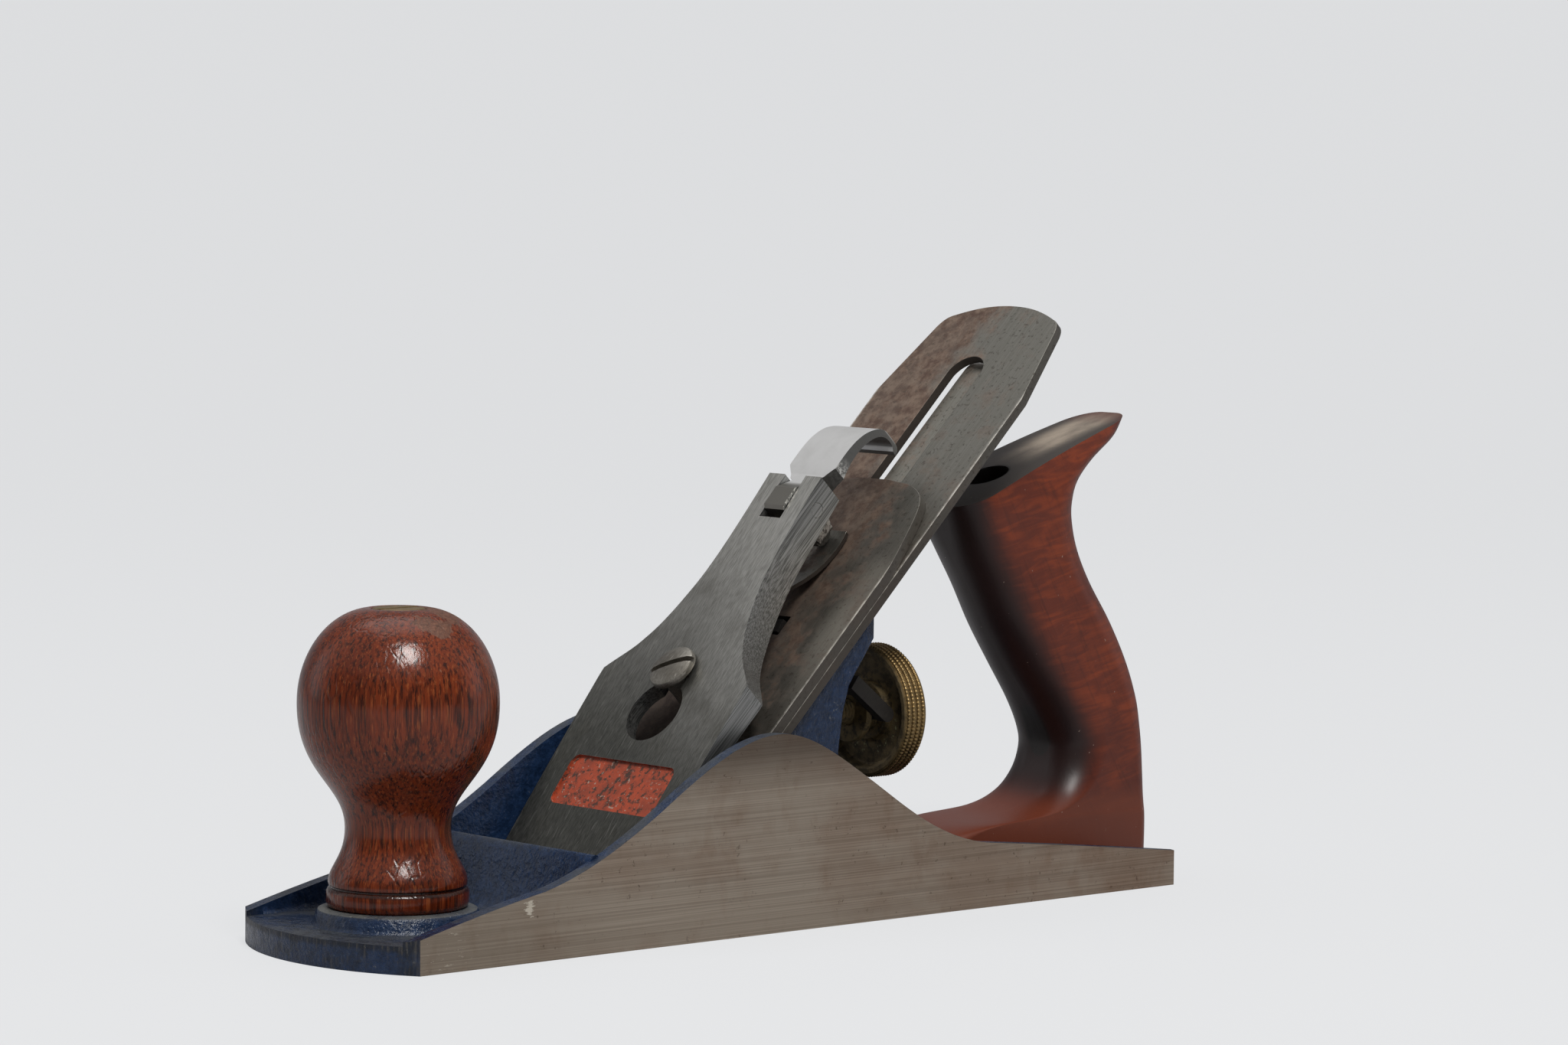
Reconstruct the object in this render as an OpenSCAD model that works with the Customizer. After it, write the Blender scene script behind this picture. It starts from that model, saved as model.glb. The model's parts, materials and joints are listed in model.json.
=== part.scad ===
// Smoothing plane: a cast body with a screwed frog, double iron, lever cap, turned knob and tote.
// +X runs to the heel, +Z up, and the origin is on the sole under the middle. Millimetres.

/* [Body] */
// Length of the sole, toe to heel
sole_len = 248; // [244:1:256]
// Width of the sole over the cheeks
sole_w = 64; // [62:0.5:66]
// How far the toe and the heel bow out past their corners
end_bow = 9.8; // [6:0.2:11]
// Thickness of the floor
floor_t = 5; // [4.5:0.1:5.5]
// Thickness of a cheek
cheek_t = 3.4; // [3:0.1:4]

/* [Irons] */
// Where the bed meets the underside of the sole
bed_x = -47.3; // [-48:0.1:-46.5]
// Width of the cutter and the cap iron
iron_w = 50.8; // [48:0.2:51]
// Thickness of the cutter
cutter_t = 2.3; // [2:0.1:2.4]
// Thickness of the cap iron
cap_iron_t = 2.5; // [2:0.1:2.6]
// Length of the cutter up the bed
cutter_len = 194.4; // [185:0.2:198]
// Width of the slot in the cutter
slot_w = 11; // [10.8:0.1:11.4]

/* [Adjusters] */
// Radius of the brass wheel
wheel_r = 15.9; // [15:0.1:16.5]
// Height of the wheel's axis
wheel_z = 44.2; // [44:0.1:44.4]
// Front face of the wheel
wheel_x = 41.2; // [41:0.1:41.6]

/* [Handles] */
// Centre of the knob along the plane
knob_x = -96; // [-97:0.5:-94]
// Largest radius of the knob
knob_r = 22.3; // [21:0.1:23]
// Half of the tote's thickness in the grip
tote_half = 12.6; // [11:0.1:13]

/* [Hidden] */
$fn = 48;
hw = sole_w / 2;
inner = hw - cheek_t;
half_iron = iron_w / 2;
arc_r = (hw * hw + end_bow * end_bow) / (2 * end_bow);
iron_front = cutter_t + cap_iron_t;
// Places up the bed, measured from where it meets the sole
screw_s = 62.1;
cap_screw_s = 79;
yoke_s = 90.85;
yoke_tip_s = 89;
yoke_lean = 6.8;
yoke_arm = 18.63;
disc_s = 102;
pivot_s = 113;
cam_s = 112.3;
cam_n = 19.4;
// Underside of the lever cap screw's head, clear of the cap's rising face
head_n = 19.05;
yoke_n = -12;
// Heights in the body
ledge_z = 7;
seat_z = 11;
boss_z = 9.9;
pad_z = 6;
screw_z = 13.5;
edge_s = 0.1 - cutter_t;
bevel = 1.73;
rivet_s = 83;
frog_gap = 0.1;
face_gap = 0.1;
stud_x = 10;
thread_r = 3;
run = 0.05;
lean = 19.8;
tote_foot_x = 114;
knob_top = 75.9;

function bez(p, t) = pow(1 - t, 3) * p[0] + 3 * t * pow(1 - t, 2) * p[1]
    + 3 * t * t * (1 - t) * p[2] + pow(t, 3) * p[3];
function path(curves, k = 8) = [for (c = curves) for (i = [0 : k - 1]) bez(c, i / k)];
function mirrored(pts) = concat(pts, [for (i = [len(pts) - 1 : -1 : 0]) [pts[i][0], -pts[i][1]]]);
function end_x(y) = sole_len / 2 - arc_r + sqrt(arc_r * arc_r - y * y);
// Front face of the lever cap above the bed, at a place up the bed
function cap_face(s) = 9.6 + 0.155 * s - 0.00028 * s * s;

module on_bed() {
    translate([bed_x, 0, 0]) rotate([0, -45, 0]) children();
}
// A prism across the plane from an outline in the upright plane along it
module across(half, pts) {
    translate([0, half, 0]) rotate([90, 0, 0]) linear_extrude(2 * half) polygon(pts);
}
module across_from(y0, y1, pts) {
    translate([0, y1, 0]) rotate([90, 0, 0]) linear_extrude(y1 - y0) polygon(pts);
}
module rod_y(r, half) {
    rotate([90, 0, 0]) cylinder(r = r, h = 2 * half, center = true);
}
module rod_x(r, x0, x1) {
    translate([x0, 0, 0]) rotate([0, 90, 0]) cylinder(r = r, h = x1 - x0);
}
module box(lo, hi) {
    translate(lo) cube(hi - lo);
}
module screw_head(r, h, slot = 1.2) {
    difference() {
        cylinder(r1 = r, r2 = r * 0.84, h = h);
        box([-r - 1, -slot / 2, h * 0.45], [r + 1, slot / 2, h + 1]);
    }
}

cheek_curves = [
    [[-125, 5], [-110, 8.9], [-95, 12.6], [-80, 15.3]],
    [[-80, 15.3], [-68, 18.3], [-58, 23.6], [-47, 30.3]],
    [[-47, 30.3], [-36, 37.4], [-24, 45], [-13, 45.2]],
    [[-13, 45.2], [-4, 45.3], [4, 40], [14, 33.7]],
    [[14, 33.7], [26, 26.2], [38, 16.2], [56, 14.9]],
    [[56, 14.9], [76, 12.9], [100, 10.2], [125, 7]]];

module sole_plan(h) {
    ys = [for (i = [-10 : 10]) hw * i / 10];
    linear_extrude(h) polygon(concat([for (y = ys) [end_x(y), y]], [for (y = ys) [-end_x(y), -y]]));
}
module cheeks() {
    outline = concat(path(cheek_curves), [[125, 7], [125, 0], [-125, 0]]);
    for (side = [-1, 1]) {
        translate([0, side * (hw - cheek_t / 2), 0]) across(cheek_t / 2, outline);
        // The cove between the floor and the cheek
        translate([-sole_len / 2, side * inner, floor_t]) rotate([90, 0, 90])
            linear_extrude(sole_len) polygon([[0.01 * side, -0.5], [0.01 * side, 2.4], [-2.4 * side, -0.5]]);
    }
}
module frog_seats() {
    box([-42, -24.5, floor_t - 1], [-29, 24.5, ledge_z]);
    box([-22, -22, floor_t - 1], [7, 22, seat_z]);
    box([18, -7, floor_t - 1], [26.5, 7, screw_z]);
    translate([0, 0, screw_z]) rod_x(7, 18, 26.5);
}
module body_casting() color("#24375c") difference() {
    union() {
        intersection() {
            sole_plan(60);
            union() {
                box([-sole_len / 2, -hw, 0], [sole_len / 2, hw, floor_t]);
                box([-sole_len / 2, -hw, 0], [-100, hw, floor_t + 1.2]);
                cheeks();
                across(inner + 0.5, [[-76, 4], [-71, 6.6], [-67.5, 13], [-65.6, 21.2], [-64.5, 21.8],
                    [-62.5, 21.4], [-57.6, 11], [-57, 4]]);
            }
        }
        translate([knob_x, 0, floor_t - 1]) cylinder(r1 = 19.6, r2 = 17.4, h = boss_z - floor_t + 1);
        box([52, -13, floor_t - 1], [120, 13, pad_z]);
        frog_seats();
    }
    // The mouth: square in front, and sloped with the bed behind
    box([-53.3, -27.4, -1], [-49, 27.4, floor_t + 1]);
    intersection() {
        box([-51, -27.4, -1], [-30, 27.4, 30]);
        on_bed() box([-20, -28, -0.8], [30, 28, 20]);
    }
    translate([knob_x, 0, 2]) cylinder(r = thread_r, h = 20);
    for (y = [-13, 13]) translate([-10, y, 2.5]) cylinder(r = 2.5, h = 20);
    translate([0, 0, screw_z]) rod_x(thread_r + run, 10, 40);
    tote_axis() translate([0, 0, -4]) cylinder(r = thread_r, h = 20);
}

// The tote's bolt leans forward, from the floor up to the hole in its top
module tote_axis() {
    translate([tote_foot_x, 0, pad_z]) rotate([0, -lean, 0]) children();
}

knob_profile = concat([[0, boss_z], [15.4, boss_z], [15.7, boss_z + 1], [15.7, 14.2], [15, 14.8], [15.4, 15.5]],
    path([
        [[15.4, 15.5], [15.2, 19], [11.7, 21], [11.7, 27.4]],
        [[11.7, 27.4], [11.7, 37], [knob_r, 39], [knob_r, 55]],
        [[knob_r, 55], [knob_r, 66], [15.5, 75.2], [6.6, knob_top]]]),
    [[6.6, knob_top], [0, knob_top]]);
module knob() color("#7c2a18") translate([knob_x, 0, 0]) difference() {
    rotate_extrude($fn = 64) polygon(knob_profile);
    translate([0, 0, boss_z - 1]) cylinder(r = thread_r + 0.6, h = 80);
    translate([0, 0, knob_top - 14]) cylinder(r = 4.6, h = 20);
    translate([0, 0, knob_top - 3]) cylinder(r = 6.1, h = 10);
}
module knob_stud() color("#8a8a86") translate([knob_x, 0, 2]) cylinder(r = thread_r, h = 66);
module knob_nut() color("#b08d4a") translate([knob_x, 0, knob_top]) difference() {
    union() {
        translate([0, 0, -13]) cylinder(r = 4.3, h = 11);
        translate([0, 0, -2.9]) cylinder(r = 5.9, h = 2.9);
    }
    translate([0, 0, -14]) cylinder(r = thread_r, h = 6.1);
    box([-8, -0.7, -1.2], [8, 0.7, 1]);
}

// Rows of the tote: height, front, back, half width, and the rounding of its front and back corners
tote_rows = [
    [6, 55, 123.8, 13.8, 10, 3], [10, 53, 123.9, 13.8, 10, 3], [13.5, 55, 123.9, 13.8, 10, 3],
    [15.6, 64, 123.9, 13.8, 10, 3.2], [17, 82, 123.9, 13.7, 9.5, 3.4], [20, 92, 123.9, 13.6, 9, 3.8],
    [25, 97.4, 123.9, 13.5, 9.4, 4.2], [31, 99.4, 123.9, 13.4, 10, 4.8], [36, 98.2, 123.9, 13.2, 10.4, 5.6],
    [43, 94, 123.7, 12.9, 11, 7.2], [52, 87.2, 122, tote_half, 11.6, 10], [62, 80.3, 117.2, tote_half, 11.8, 11.6],
    [72, 74.5, 110.4, tote_half, 12, 12], [80, 69.6, 105.9, tote_half, 11.6, 11.6],
    [87, 66, 103.1, 12.8, 10.4, 10.4], [92, 63.8, 102.2, 13, 9.6, 9.2], [97, 62.2, 103.9, tote_half, 9.4, 8.4],
    [102, 62.2, 109.2, 11.6, 9, 7.6], [107, 64, 116.9, 10.2, 8.6, 6.8], [111, 68, 121, 8.8, 8, 6.4],
    [115, 72, 123.4, 8, 7.2, 6]];
function row_at(rows, f) = let(i = min(floor(f), len(rows) - 2), t = f - i,
    a = rows[max(i - 1, 0)], b = rows[i], c = rows[i + 1], d = rows[min(i + 2, len(rows) - 1)])
    0.5 * (2 * b + t * (c - a) + t * t * (2 * a - 5 * b + 4 * c - d) + t * t * t * (3 * b - a - 3 * c + d));
module tote_loft(corner_steps = 7, steps = 2) {
    sides = 4 * corner_steps;
    count = (len(tote_rows) - 1) * steps;
    rings = [for (j = [0 : count]) row_at(tote_rows, j / steps)];
    pts = [for (r = rings) for (quarter = [0 : 3]) for (k = [0 : corner_steps - 1])
        let(back = quarter == 0 || quarter == 3, round = back ? r[5] : r[4],
            a = 90 * (quarter + k / (corner_steps - 1)), side = quarter < 2 ? 1 : -1)
        [(back ? r[2] - round : r[1] + round) + round * cos(a), side * (r[3] - round) + round * sin(a), r[0]]];
    walls = [for (j = [0 : count - 1]) for (k = [0 : sides - 1]) let(
        a = j * sides + k, b = j * sides + (k + 1) % sides) each [[a, a + sides, b], [b, a + sides, b + sides]]];
    low = [[for (k = [0 : sides - 1]) k]];
    high = [[for (k = [sides - 1 : -1 : 0]) count * sides + k]];
    polyhedron(pts, concat(low, walls, high));
}
module tote() color("#6f2415") difference() {
    tote_loft();
    // The sloping top, from the front lip up to the horn
    across(20, concat(path([[[40, 80], [62, 91.5], [84, 101.5], [126, 113.6]]], 10), [[126, 113.6], [140, 114],
        [140, 130], [40, 130]]));
    tote_axis() translate([0, 0, -5]) cylinder(r = thread_r + 0.6, h = 130);
    tote_axis() translate([0, 0, 85]) cylinder(r = 5.6, h = 40);
}
module tote_stud() color("#8a8a86") tote_axis() translate([0, 0, -4]) cylinder(r = thread_r, h = 86);
module tote_nut() color("#b08d4a") tote_axis() difference() {
    union() {
        translate([0, 0, 76.5]) cylinder(r = 3.5, h = 8.6);
        translate([0, 0, 85.05]) cylinder(r = 5.2, h = 3);
    }
    translate([0, 0, 76]) cylinder(r = thread_r, h = 6);
    box([-8, -0.7, 87], [8, 0.7, 89]);
}

frog_sides = [[-40.15, ledge_z + frog_gap], [20.7, 67.95], [21.6, 64], [19.8, 59.6], [15.8, 53.7],
    [14, 47.6], [12.7, 38.8], [12.3, 30], [12.3, seat_z + frog_gap], [-23.5, seat_z + frog_gap],
    [-23.5, ledge_z + frog_gap]];
frog_face = mirrored([[6, 23.5], [88, 23.2], [96.5, 21.5], [103, 16.5], [112, 14], [119.5, 8], [120.5, 0]]);
module frog() color("#274074") difference() {
    union() {
        intersection() {
            on_bed() translate([0, 0, -6]) linear_extrude(6) polygon(frog_face);
            box([-60, -30, ledge_z + frog_gap], [60, 30, 90]);
        }
        across_from(-23.5, -19.5, frog_sides);
        across_from(19.5, 23.5, frog_sides);
        // The foot on the seat, the middle web, and the two bosses
        box([-23.5, -20, seat_z + frog_gap], [12.3, 20, seat_z + 6]);
        across(3, [[-30, seat_z + 5], [-9, 37], [12.3, wheel_z - 2], [12.3, seat_z + 5]]);
        translate([0, 0, wheel_z]) rod_x(6.5, 0, 24);
        on_bed() translate([screw_s, 0, -16]) cylinder(r = 6.2, h = 12);
        // The ears that hold the yoke's pin
        on_bed() for (side = [-1, 1]) translate([yoke_s, side * 8.7, yoke_n]) {
            rod_y(3.6, 1.8);
            box([-3.6, -1.8, 0], [3.6, 1.8, 8]);
        }
    }
    on_bed() {
        // The face, the pocket of the cap iron screw, the yoke's window, and the lateral lever's step
        box([0, -30, -face_gap], [140, 30, 30]);
        box([68.5, -8.6, -4.2], [90.5, 8.6, 1]);
        box([84.5, -5.2, -20], [96, 5.2, 1]);
        box([disc_s - 5.9, -30, -3], [140, 30, 1]);
        translate([screw_s, 0, -20]) cylinder(r = 3.9 + run, h = 30);
        translate([pivot_s, 0, -10]) cylinder(r = 2, h = 12);
        translate([yoke_s, 0, yoke_n]) rod_y(2, 12);
    }
    translate([0, 0, wheel_z]) rod_x(3.2 + run, stud_x - 3, 40);
    translate([0, 0, screw_z]) rod_x(4, 9.5, 20);
    // The slotted holes of the frog screws, and the ways down to them
    for (y = [-13, 13]) {
        for (x = [-11.8, -8.2]) translate([x, y, 5]) cylinder(r = 2.9, h = 15);
        box([-11.8, y - 2.9, 5], [-8.2, y + 2.9, 20]);
        translate([-10, y, seat_z + 6]) cylinder(r = 7.7, h = 60);
    }
    translate([12.3, 0, 22]) rotate([0, -90, 0]) cylinder(r = 1.9, h = 7);
}
module frog_screws() color("#8f8d88") for (y = [-13, 13]) translate([-10, y, 0]) {
    translate([0, 0, 3]) cylinder(r = 2.5, h = 17);
    translate([0, 0, seat_z + 7.6]) screw_head(4.6, 3.2);
}
module frog_washers() color("#a09c92") for (y = [-13, 13]) translate([-10, y, seat_z + 6.15]) difference() {
    cylinder(r = 5.6, h = 1.45);
    translate([0, 0, -1]) cylinder(r = 2.6, h = 4);
}
module frog_clip() color("#8f8d88") difference() {
    box([12.35, -7, 8], [13.95, 7, 26]);
    translate([0, 0, screw_z]) rod_x(2.35, 10, 16);
    box([10, -2.35, 5], [16, 2.35, screw_z]);
    translate([0, 0, 22]) rod_x(2, 10, 16);
}
module frog_clip_screw() color("#8f8d88") translate([0, 0, 22]) {
    rod_x(1.9, 7, 14.2);
    translate([14, 0, 0]) rotate([0, 90, 0]) screw_head(3.4, 2);
}
module frog_adjusting_screw() color("#9a968c") translate([0, 0, screw_z]) {
    // The groove that the clip holds lies between the tip and the thread
    rod_x(3.6, 10.3, 12.15);
    rod_x(2.2, 12, 14.3);
    rod_x(3.6, 14.2, 15.6);
    rod_x(thread_r, 15.5, 31.5);
    translate([31, 0, 0]) rotate([0, 90, 0]) screw_head(4.6, 4.5);
}

module depth_stud() color("#9b8450") translate([0, 0, wheel_z]) rod_x(3.2, stud_x, wheel_x + 8.6);
module depth_nut() color("#a5843c") translate([wheel_x, 0, wheel_z]) rotate([0, 90, 0]) difference() {
    rotate_extrude($fn = 96) polygon(concat(
        [[3.2 + run, -4.8], [7.2, -4.8], [7.2, -3.1], [4.6, -3.1], [4.6, 0.9], [7, 0.9], [7, 2.4],
        [12.8, 2.4], [13.4, 0], [wheel_r - 1, 0], [wheel_r - 0.3, 0.5]],
        [for (i = [0 : 3]) each [[wheel_r, 0.9 + 1.5 * i], [wheel_r, 1.7 + 1.5 * i],
            [wheel_r - 0.6, 2 + 1.5 * i], [wheel_r - 0.6, 2.2 + 1.5 * i]]],
        [[wheel_r - 1, 6.7], [12.8, 6.7], [12.2, 4.8], [6.5, 4.8], [6, 6.7], [3.2 + run, 6.7]]));
}
module yoke() color("#8c8a84") on_bed() translate([yoke_s, 0, yoke_n]) rotate([0, -yoke_lean, 0]) difference() {
    union() {
        rod_y(4.2, 6.3);
        // The tip that enters the cap iron
        box([-1.7, -3.8, 0], [1.7, 3.8, 12 + iron_front + 0.3]);
        box([-1.8, -4, -7], [1.8, 4, 0]);
        box([-1.8, -10.4, -8.4], [1.8, 10.4, -5.2]);
        for (side = [-1, 1]) translate([0, side * 9, 0]) {
            box([-1.8, -1.4, -yoke_arm], [1.8, 1.4, -5.2]);
            translate([0, 0, -yoke_arm]) rod_y(1.8, 1.4);
            translate([0, -side * 2.6, -yoke_arm]) rod_y(1.6, 1.4);
        }
    }
    rod_y(2 + run, 8);
}
module yoke_pin() color("#8f8d88") on_bed() translate([yoke_s, 0, yoke_n]) rod_y(2, 10.4);

// The strip lies behind the cutter, and its upper end is bent back as a finger piece
lateral_side = concat([[pivot_s - 14.6, -0.6]],
    path([[[175.5, -0.6], [179, -0.6], [181, -2], [181.2, -9]]], 10), [[181.2, -9]],
    path([[[179.2, -8.8], [179, -4.2], [178, -2.6], [175.5, -2.6]]], 10),
    [[175.5, -2.6], [pivot_s - 14.6, -2.6]]);
module lateral_lever() color("#a9a69c") on_bed() difference() {
    union() {
        intersection() {
            across(8, lateral_side);
            translate([0, 0, -12]) linear_extrude(14) polygon(mirrored([[pivot_s - 15, 5.2],
                [pivot_s + 7, 5.5], [182, 4.6]]));
        }
        translate([pivot_s, 0, -2.6]) cylinder(r = 6.5, h = 2);
    }
    translate([pivot_s, 0, -5]) cylinder(r = 2 + run, h = 8);
}
module lateral_rivet() color("#8f8d88") on_bed() translate([pivot_s, 0, 0]) {
    translate([0, 0, -9]) cylinder(r = 2, h = 8.6);
    translate([0, 0, -0.5]) cylinder(r = 3.2, h = 0.35);
}
module lateral_disc() color("#8f8d88") on_bed() translate([disc_s, 0, -0.45]) difference() {
    cylinder(r = 5.3, h = 2.5);
    translate([0, 0, -1]) cylinder(r = 2 + run, h = 5);
}
module disc_rivet() color("#8f8d88") on_bed() translate([disc_s, 0, -0.65]) cylinder(r = 2, h = 2.7);

// The cutter's outline up the bed, from the edge to the rounded top
cutter_outline = mirrored(concat([[-3, half_iron], [165, half_iron]],
    path([[[186.6, 20.6], [189, 19.8], [190, 19], [190.7, 17]], [[190.7, 17], [192.4, 13],
        [cutter_len, 8], [cutter_len, 0]]], 8), [[cutter_len, 0]]));
module cutter() color("#7c766c") on_bed() difference() {
    linear_extrude(cutter_t) polygon(cutter_outline);
    // The ground bevel leaves the edge on the front face
    across(40, [[-10, -1], [edge_s + bevel * (cutter_t + 1), -1], [edge_s, cutter_t], [edge_s, 9], [-10, 9]]);
    box([50, -slot_w / 2, -1], [172, slot_w / 2, 5]);
    translate([172, 0, -1]) cylinder(r = slot_w / 2, h = 6);
    translate([50, 0, -1]) cylinder(r = 9.2, h = 6);
}
cap_iron_side = concat([[-0.9, cutter_t + 0.02]],
    path([[[-0.9, cutter_t + 0.3], [2, 5.4], [4, 6.6], [8, 6.6]], [[8, 6.6], [11, 6.6], [14, iron_front],
        [18, iron_front]]], 6),
    [[135.4, iron_front], [135.4, cutter_t + 0.02], [17, cutter_t + 0.02]],
    path([[[15, cutter_t + 0.3], [12, 4.6], [10, 4.6], [8, 4.6]], [[8, 4.6], [4, 4.5], [1.5, 3.4],
        [0.2, cutter_t + 0.02]]], 5), [[0.2, cutter_t + 0.02]]);
cap_iron_plan = mirrored(concat([[-2, half_iron], [104, half_iron]],
    path([[[129, 21], [132, 20.4], [135.3, 10], [135.3, 0]]], 8), [[135.3, 0]]));
module cap_iron() color("#75695e") on_bed() difference() {
    intersection() {
        across(30, cap_iron_side);
        linear_extrude(12) polygon(cap_iron_plan);
    }
    translate([screw_s - 3, 0, 0]) cylinder(r = 6.8, h = 12);
    translate([screw_s + 1.5, 0, 0]) cylinder(r = 6.8, h = 12);
    box([screw_s - 3, -6.8, 0], [screw_s + 1.5, 6.8, 12]);
    translate([cap_screw_s, 0, 0]) cylinder(r = 3.9, h = 12);
    box([yoke_tip_s - 2.8, -4.9, 0], [yoke_tip_s + 2.8, 4.9, 12]);
}
module cap_iron_screw() color("#8a877f") on_bed() translate([cap_screw_s, 0, 0]) {
    translate([0, 0, -0.1]) cylinder(r = 3.9, h = iron_front + 0.4);
    translate([0, 0, -0.03]) mirror([0, 0, 1]) screw_head(7, 3, 1.6);
}
module lever_cap_screw() color("#9a9992") on_bed() translate([screw_s, 0, 0]) {
    translate([0, 0, -15]) cylinder(r = 3.9, h = 15 + head_n + 0.2);
    translate([0, 0, head_n]) screw_head(6, 2.5, 1.3);
}

lever_cap_plan = mirrored(concat([[4, 25.2], [59, 25.5], [61, 25.4]],
    path([[[62.5, 22.8], [67.5, 20], [72, 15.5], [82, 12.3]], [[82, 12.3], [90, 9.8], [98, 9],
        [118.6, 9.1]]], 8), [[118.6, 9.1]]));
under_cap = [[118.6, 16], [108, 14.7], [98, 13.6], [88, 12.3], [76, 11.2], [54, 11.2], [40, 11],
    [28, 9.6], [19, 7.2], [15.5, 6.8]];
module lever_cap() color("#9c9c96") on_bed() difference() {
    intersection() {
        across(30, concat([[7.2, 6.8], [6.4, 8.4]], [for (s = [8 : 10 : 118]) [s, cap_face(s)]],
            [[118.6, cap_face(118.6)]], under_cap));
        translate([0, 0, 2]) linear_extrude(30) polygon(lever_cap_plan);
    }
    // The hollow underside, below a front plate
    intersection() {
        across(30, concat([[24, 2], [24, cap_face(24) - 4]], [for (s = [34 : 10 : 104]) [s, cap_face(s) - 4]],
            [[104, 2]]));
        linear_extrude(30) polygon(mirrored([[22, 21.8], [58, 22], [67, 15.5], [74, 11.5], [84, 8.4], [92, 6.4],
            [104, 6]]));
    }
    // The keyhole, the notch of the cam lever and its pin hole
    translate([screw_s - 10.6, 0, 0]) cylinder(r = 8, h = 30);
    translate([screw_s, 0, 0]) cylinder(r = 4.4, h = 30);
    box([screw_s - 10.6, -4.4, 0], [screw_s, 4.4, 30]);
    box([106.3, -3.65, 0], [125, 3.65, 30]);
    translate([cam_s, 0, cam_n]) rod_y(1.8, 30);
    translate([rivet_s, 0, 10]) cylinder(r = 1.65, h = 8.4);
    // The sunk panel of the badge
    translate([31.3, 0, cap_face(31.3)]) rotate([0, -7.9, 0]) box([-7, -18.3, -0.9], [7, 18.3, 3]);
}
cam_outline = concat(
    [[108.5, 20.4], [108.5, 23.2], [109.4, 24.2], [114.5, 24.4], [119, 21]],
    path([[[121, 19.6], [123, 20.6], [124, 21.6], [128, 21.6]], [[128, 21.6], [133, 21.6], [137, 20.6],
        [139.8, 17.6]], [[139.8, 17.6], [141.8, 15.4], [142.4, 12], [141, 10.2]]], 6),
    [[141, 10.2], [139.6, 9.6], [138.4, 9.9], [138.8, 10.9]],
    path([[[140, 11.3], [140.4, 13.6], [138.8, 16], [136.6, 17.6]], [[136.6, 17.6], [133, 20],
        [126, 20], [122, 17.2]]], 6),
    [[119, 15.6], [116.8, 12], [115.6, 7.4], [114.2, 6.65], [112.4, 6.65], [111, 7.6], [110, 13]]);
module cam_lever() color("#b4b4b0") on_bed() difference() {
    union() {
        intersection() {
            across(8, cam_outline);
            box([121.6, -8, 0], [150, 8, 40]);
        }
        intersection() {
            across(5.6, cam_outline);
            box([120.4, -6, 0], [126, 6, 40]);
        }
        across(3.35, cam_outline);
    }
    translate([cam_s, 0, cam_n]) rod_y(1.8 + run, 10);
}
module cam_pin() color("#9c9c96") on_bed() translate([cam_s, 0, cam_n]) rod_y(1.8, 9.1);
// The leaf bows from its rivet down to the cap iron, under the cam
spring_top = path([[[76, 15.6], [82, 15.9], [86, 16], [91, 13.2]], [[91, 13.2], [97, 9.8], [103, 6.5],
    [111, 6.15]], [[111, 6.15], [113, 6.1], [115.5, 6.1], [117, 6.75]]], 6);
spring_under = [for (i = [len(spring_top) - 1 : -1 : 0]) spring_top[i] - [0, 1.05]];
module lever_cap_spring() color("#8b8880") on_bed() difference() {
    across(5.6, concat(spring_top, [[117, 6.75], [117, 5.7]], spring_under));
    translate([rivet_s, 0, 10]) cylinder(r = 1.65, h = 10);
}
module spring_rivet() color("#8b8880") on_bed() {
    translate([rivet_s, 0, 14.4]) cylinder(r = 1.65, h = 4);
    translate([rivet_s, 0, 13.6]) cylinder(r = 3, h = 1);
}

body_casting();
knob();
knob_stud();
knob_nut();
tote();
tote_stud();
tote_nut();
frog();
frog_screws();
frog_washers();
frog_clip();
frog_clip_screw();
frog_adjusting_screw();
depth_stud();
depth_nut();
yoke();
yoke_pin();
lateral_lever();
lateral_rivet();
lateral_disc();
disc_rivet();
cutter();
cap_iron();
cap_iron_screw();
lever_cap_screw();
lever_cap();
cam_lever();
cam_pin();
lever_cap_spring();
spring_rivet();
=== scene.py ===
# %% [markdown]
# # A smoothing plane
# A smoothing plane is a cast iron body that carries a sloping frog, and on the frog lie a cutter, a cap
# iron and a lever cap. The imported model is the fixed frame: it says where every part is. This lesson puts
# finer shapes and real finishes round it, so that each edge catches light and each surface shows its age.

# %% Load the frame
import json
from math import cos, pi, radians, sin, sqrt
import bmesh
import bpy
from mathutils import Matrix, Vector

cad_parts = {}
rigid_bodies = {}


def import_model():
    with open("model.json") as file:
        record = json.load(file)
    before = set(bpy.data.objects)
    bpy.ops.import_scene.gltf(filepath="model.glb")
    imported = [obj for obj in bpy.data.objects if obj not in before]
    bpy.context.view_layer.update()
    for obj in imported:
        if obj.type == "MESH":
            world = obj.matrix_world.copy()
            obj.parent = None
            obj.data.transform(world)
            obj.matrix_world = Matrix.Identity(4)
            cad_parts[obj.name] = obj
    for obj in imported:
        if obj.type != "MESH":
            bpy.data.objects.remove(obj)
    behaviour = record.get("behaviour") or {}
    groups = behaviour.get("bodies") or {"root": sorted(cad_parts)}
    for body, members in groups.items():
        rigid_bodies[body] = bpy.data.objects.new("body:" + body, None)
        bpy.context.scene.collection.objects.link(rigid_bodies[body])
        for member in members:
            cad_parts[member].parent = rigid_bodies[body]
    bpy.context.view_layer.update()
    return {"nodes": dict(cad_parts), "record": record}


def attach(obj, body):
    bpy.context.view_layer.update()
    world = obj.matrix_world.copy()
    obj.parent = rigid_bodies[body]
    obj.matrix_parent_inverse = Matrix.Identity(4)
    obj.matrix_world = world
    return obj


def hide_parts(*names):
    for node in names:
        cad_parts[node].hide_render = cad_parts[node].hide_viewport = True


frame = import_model()
MM = 0.001

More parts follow.
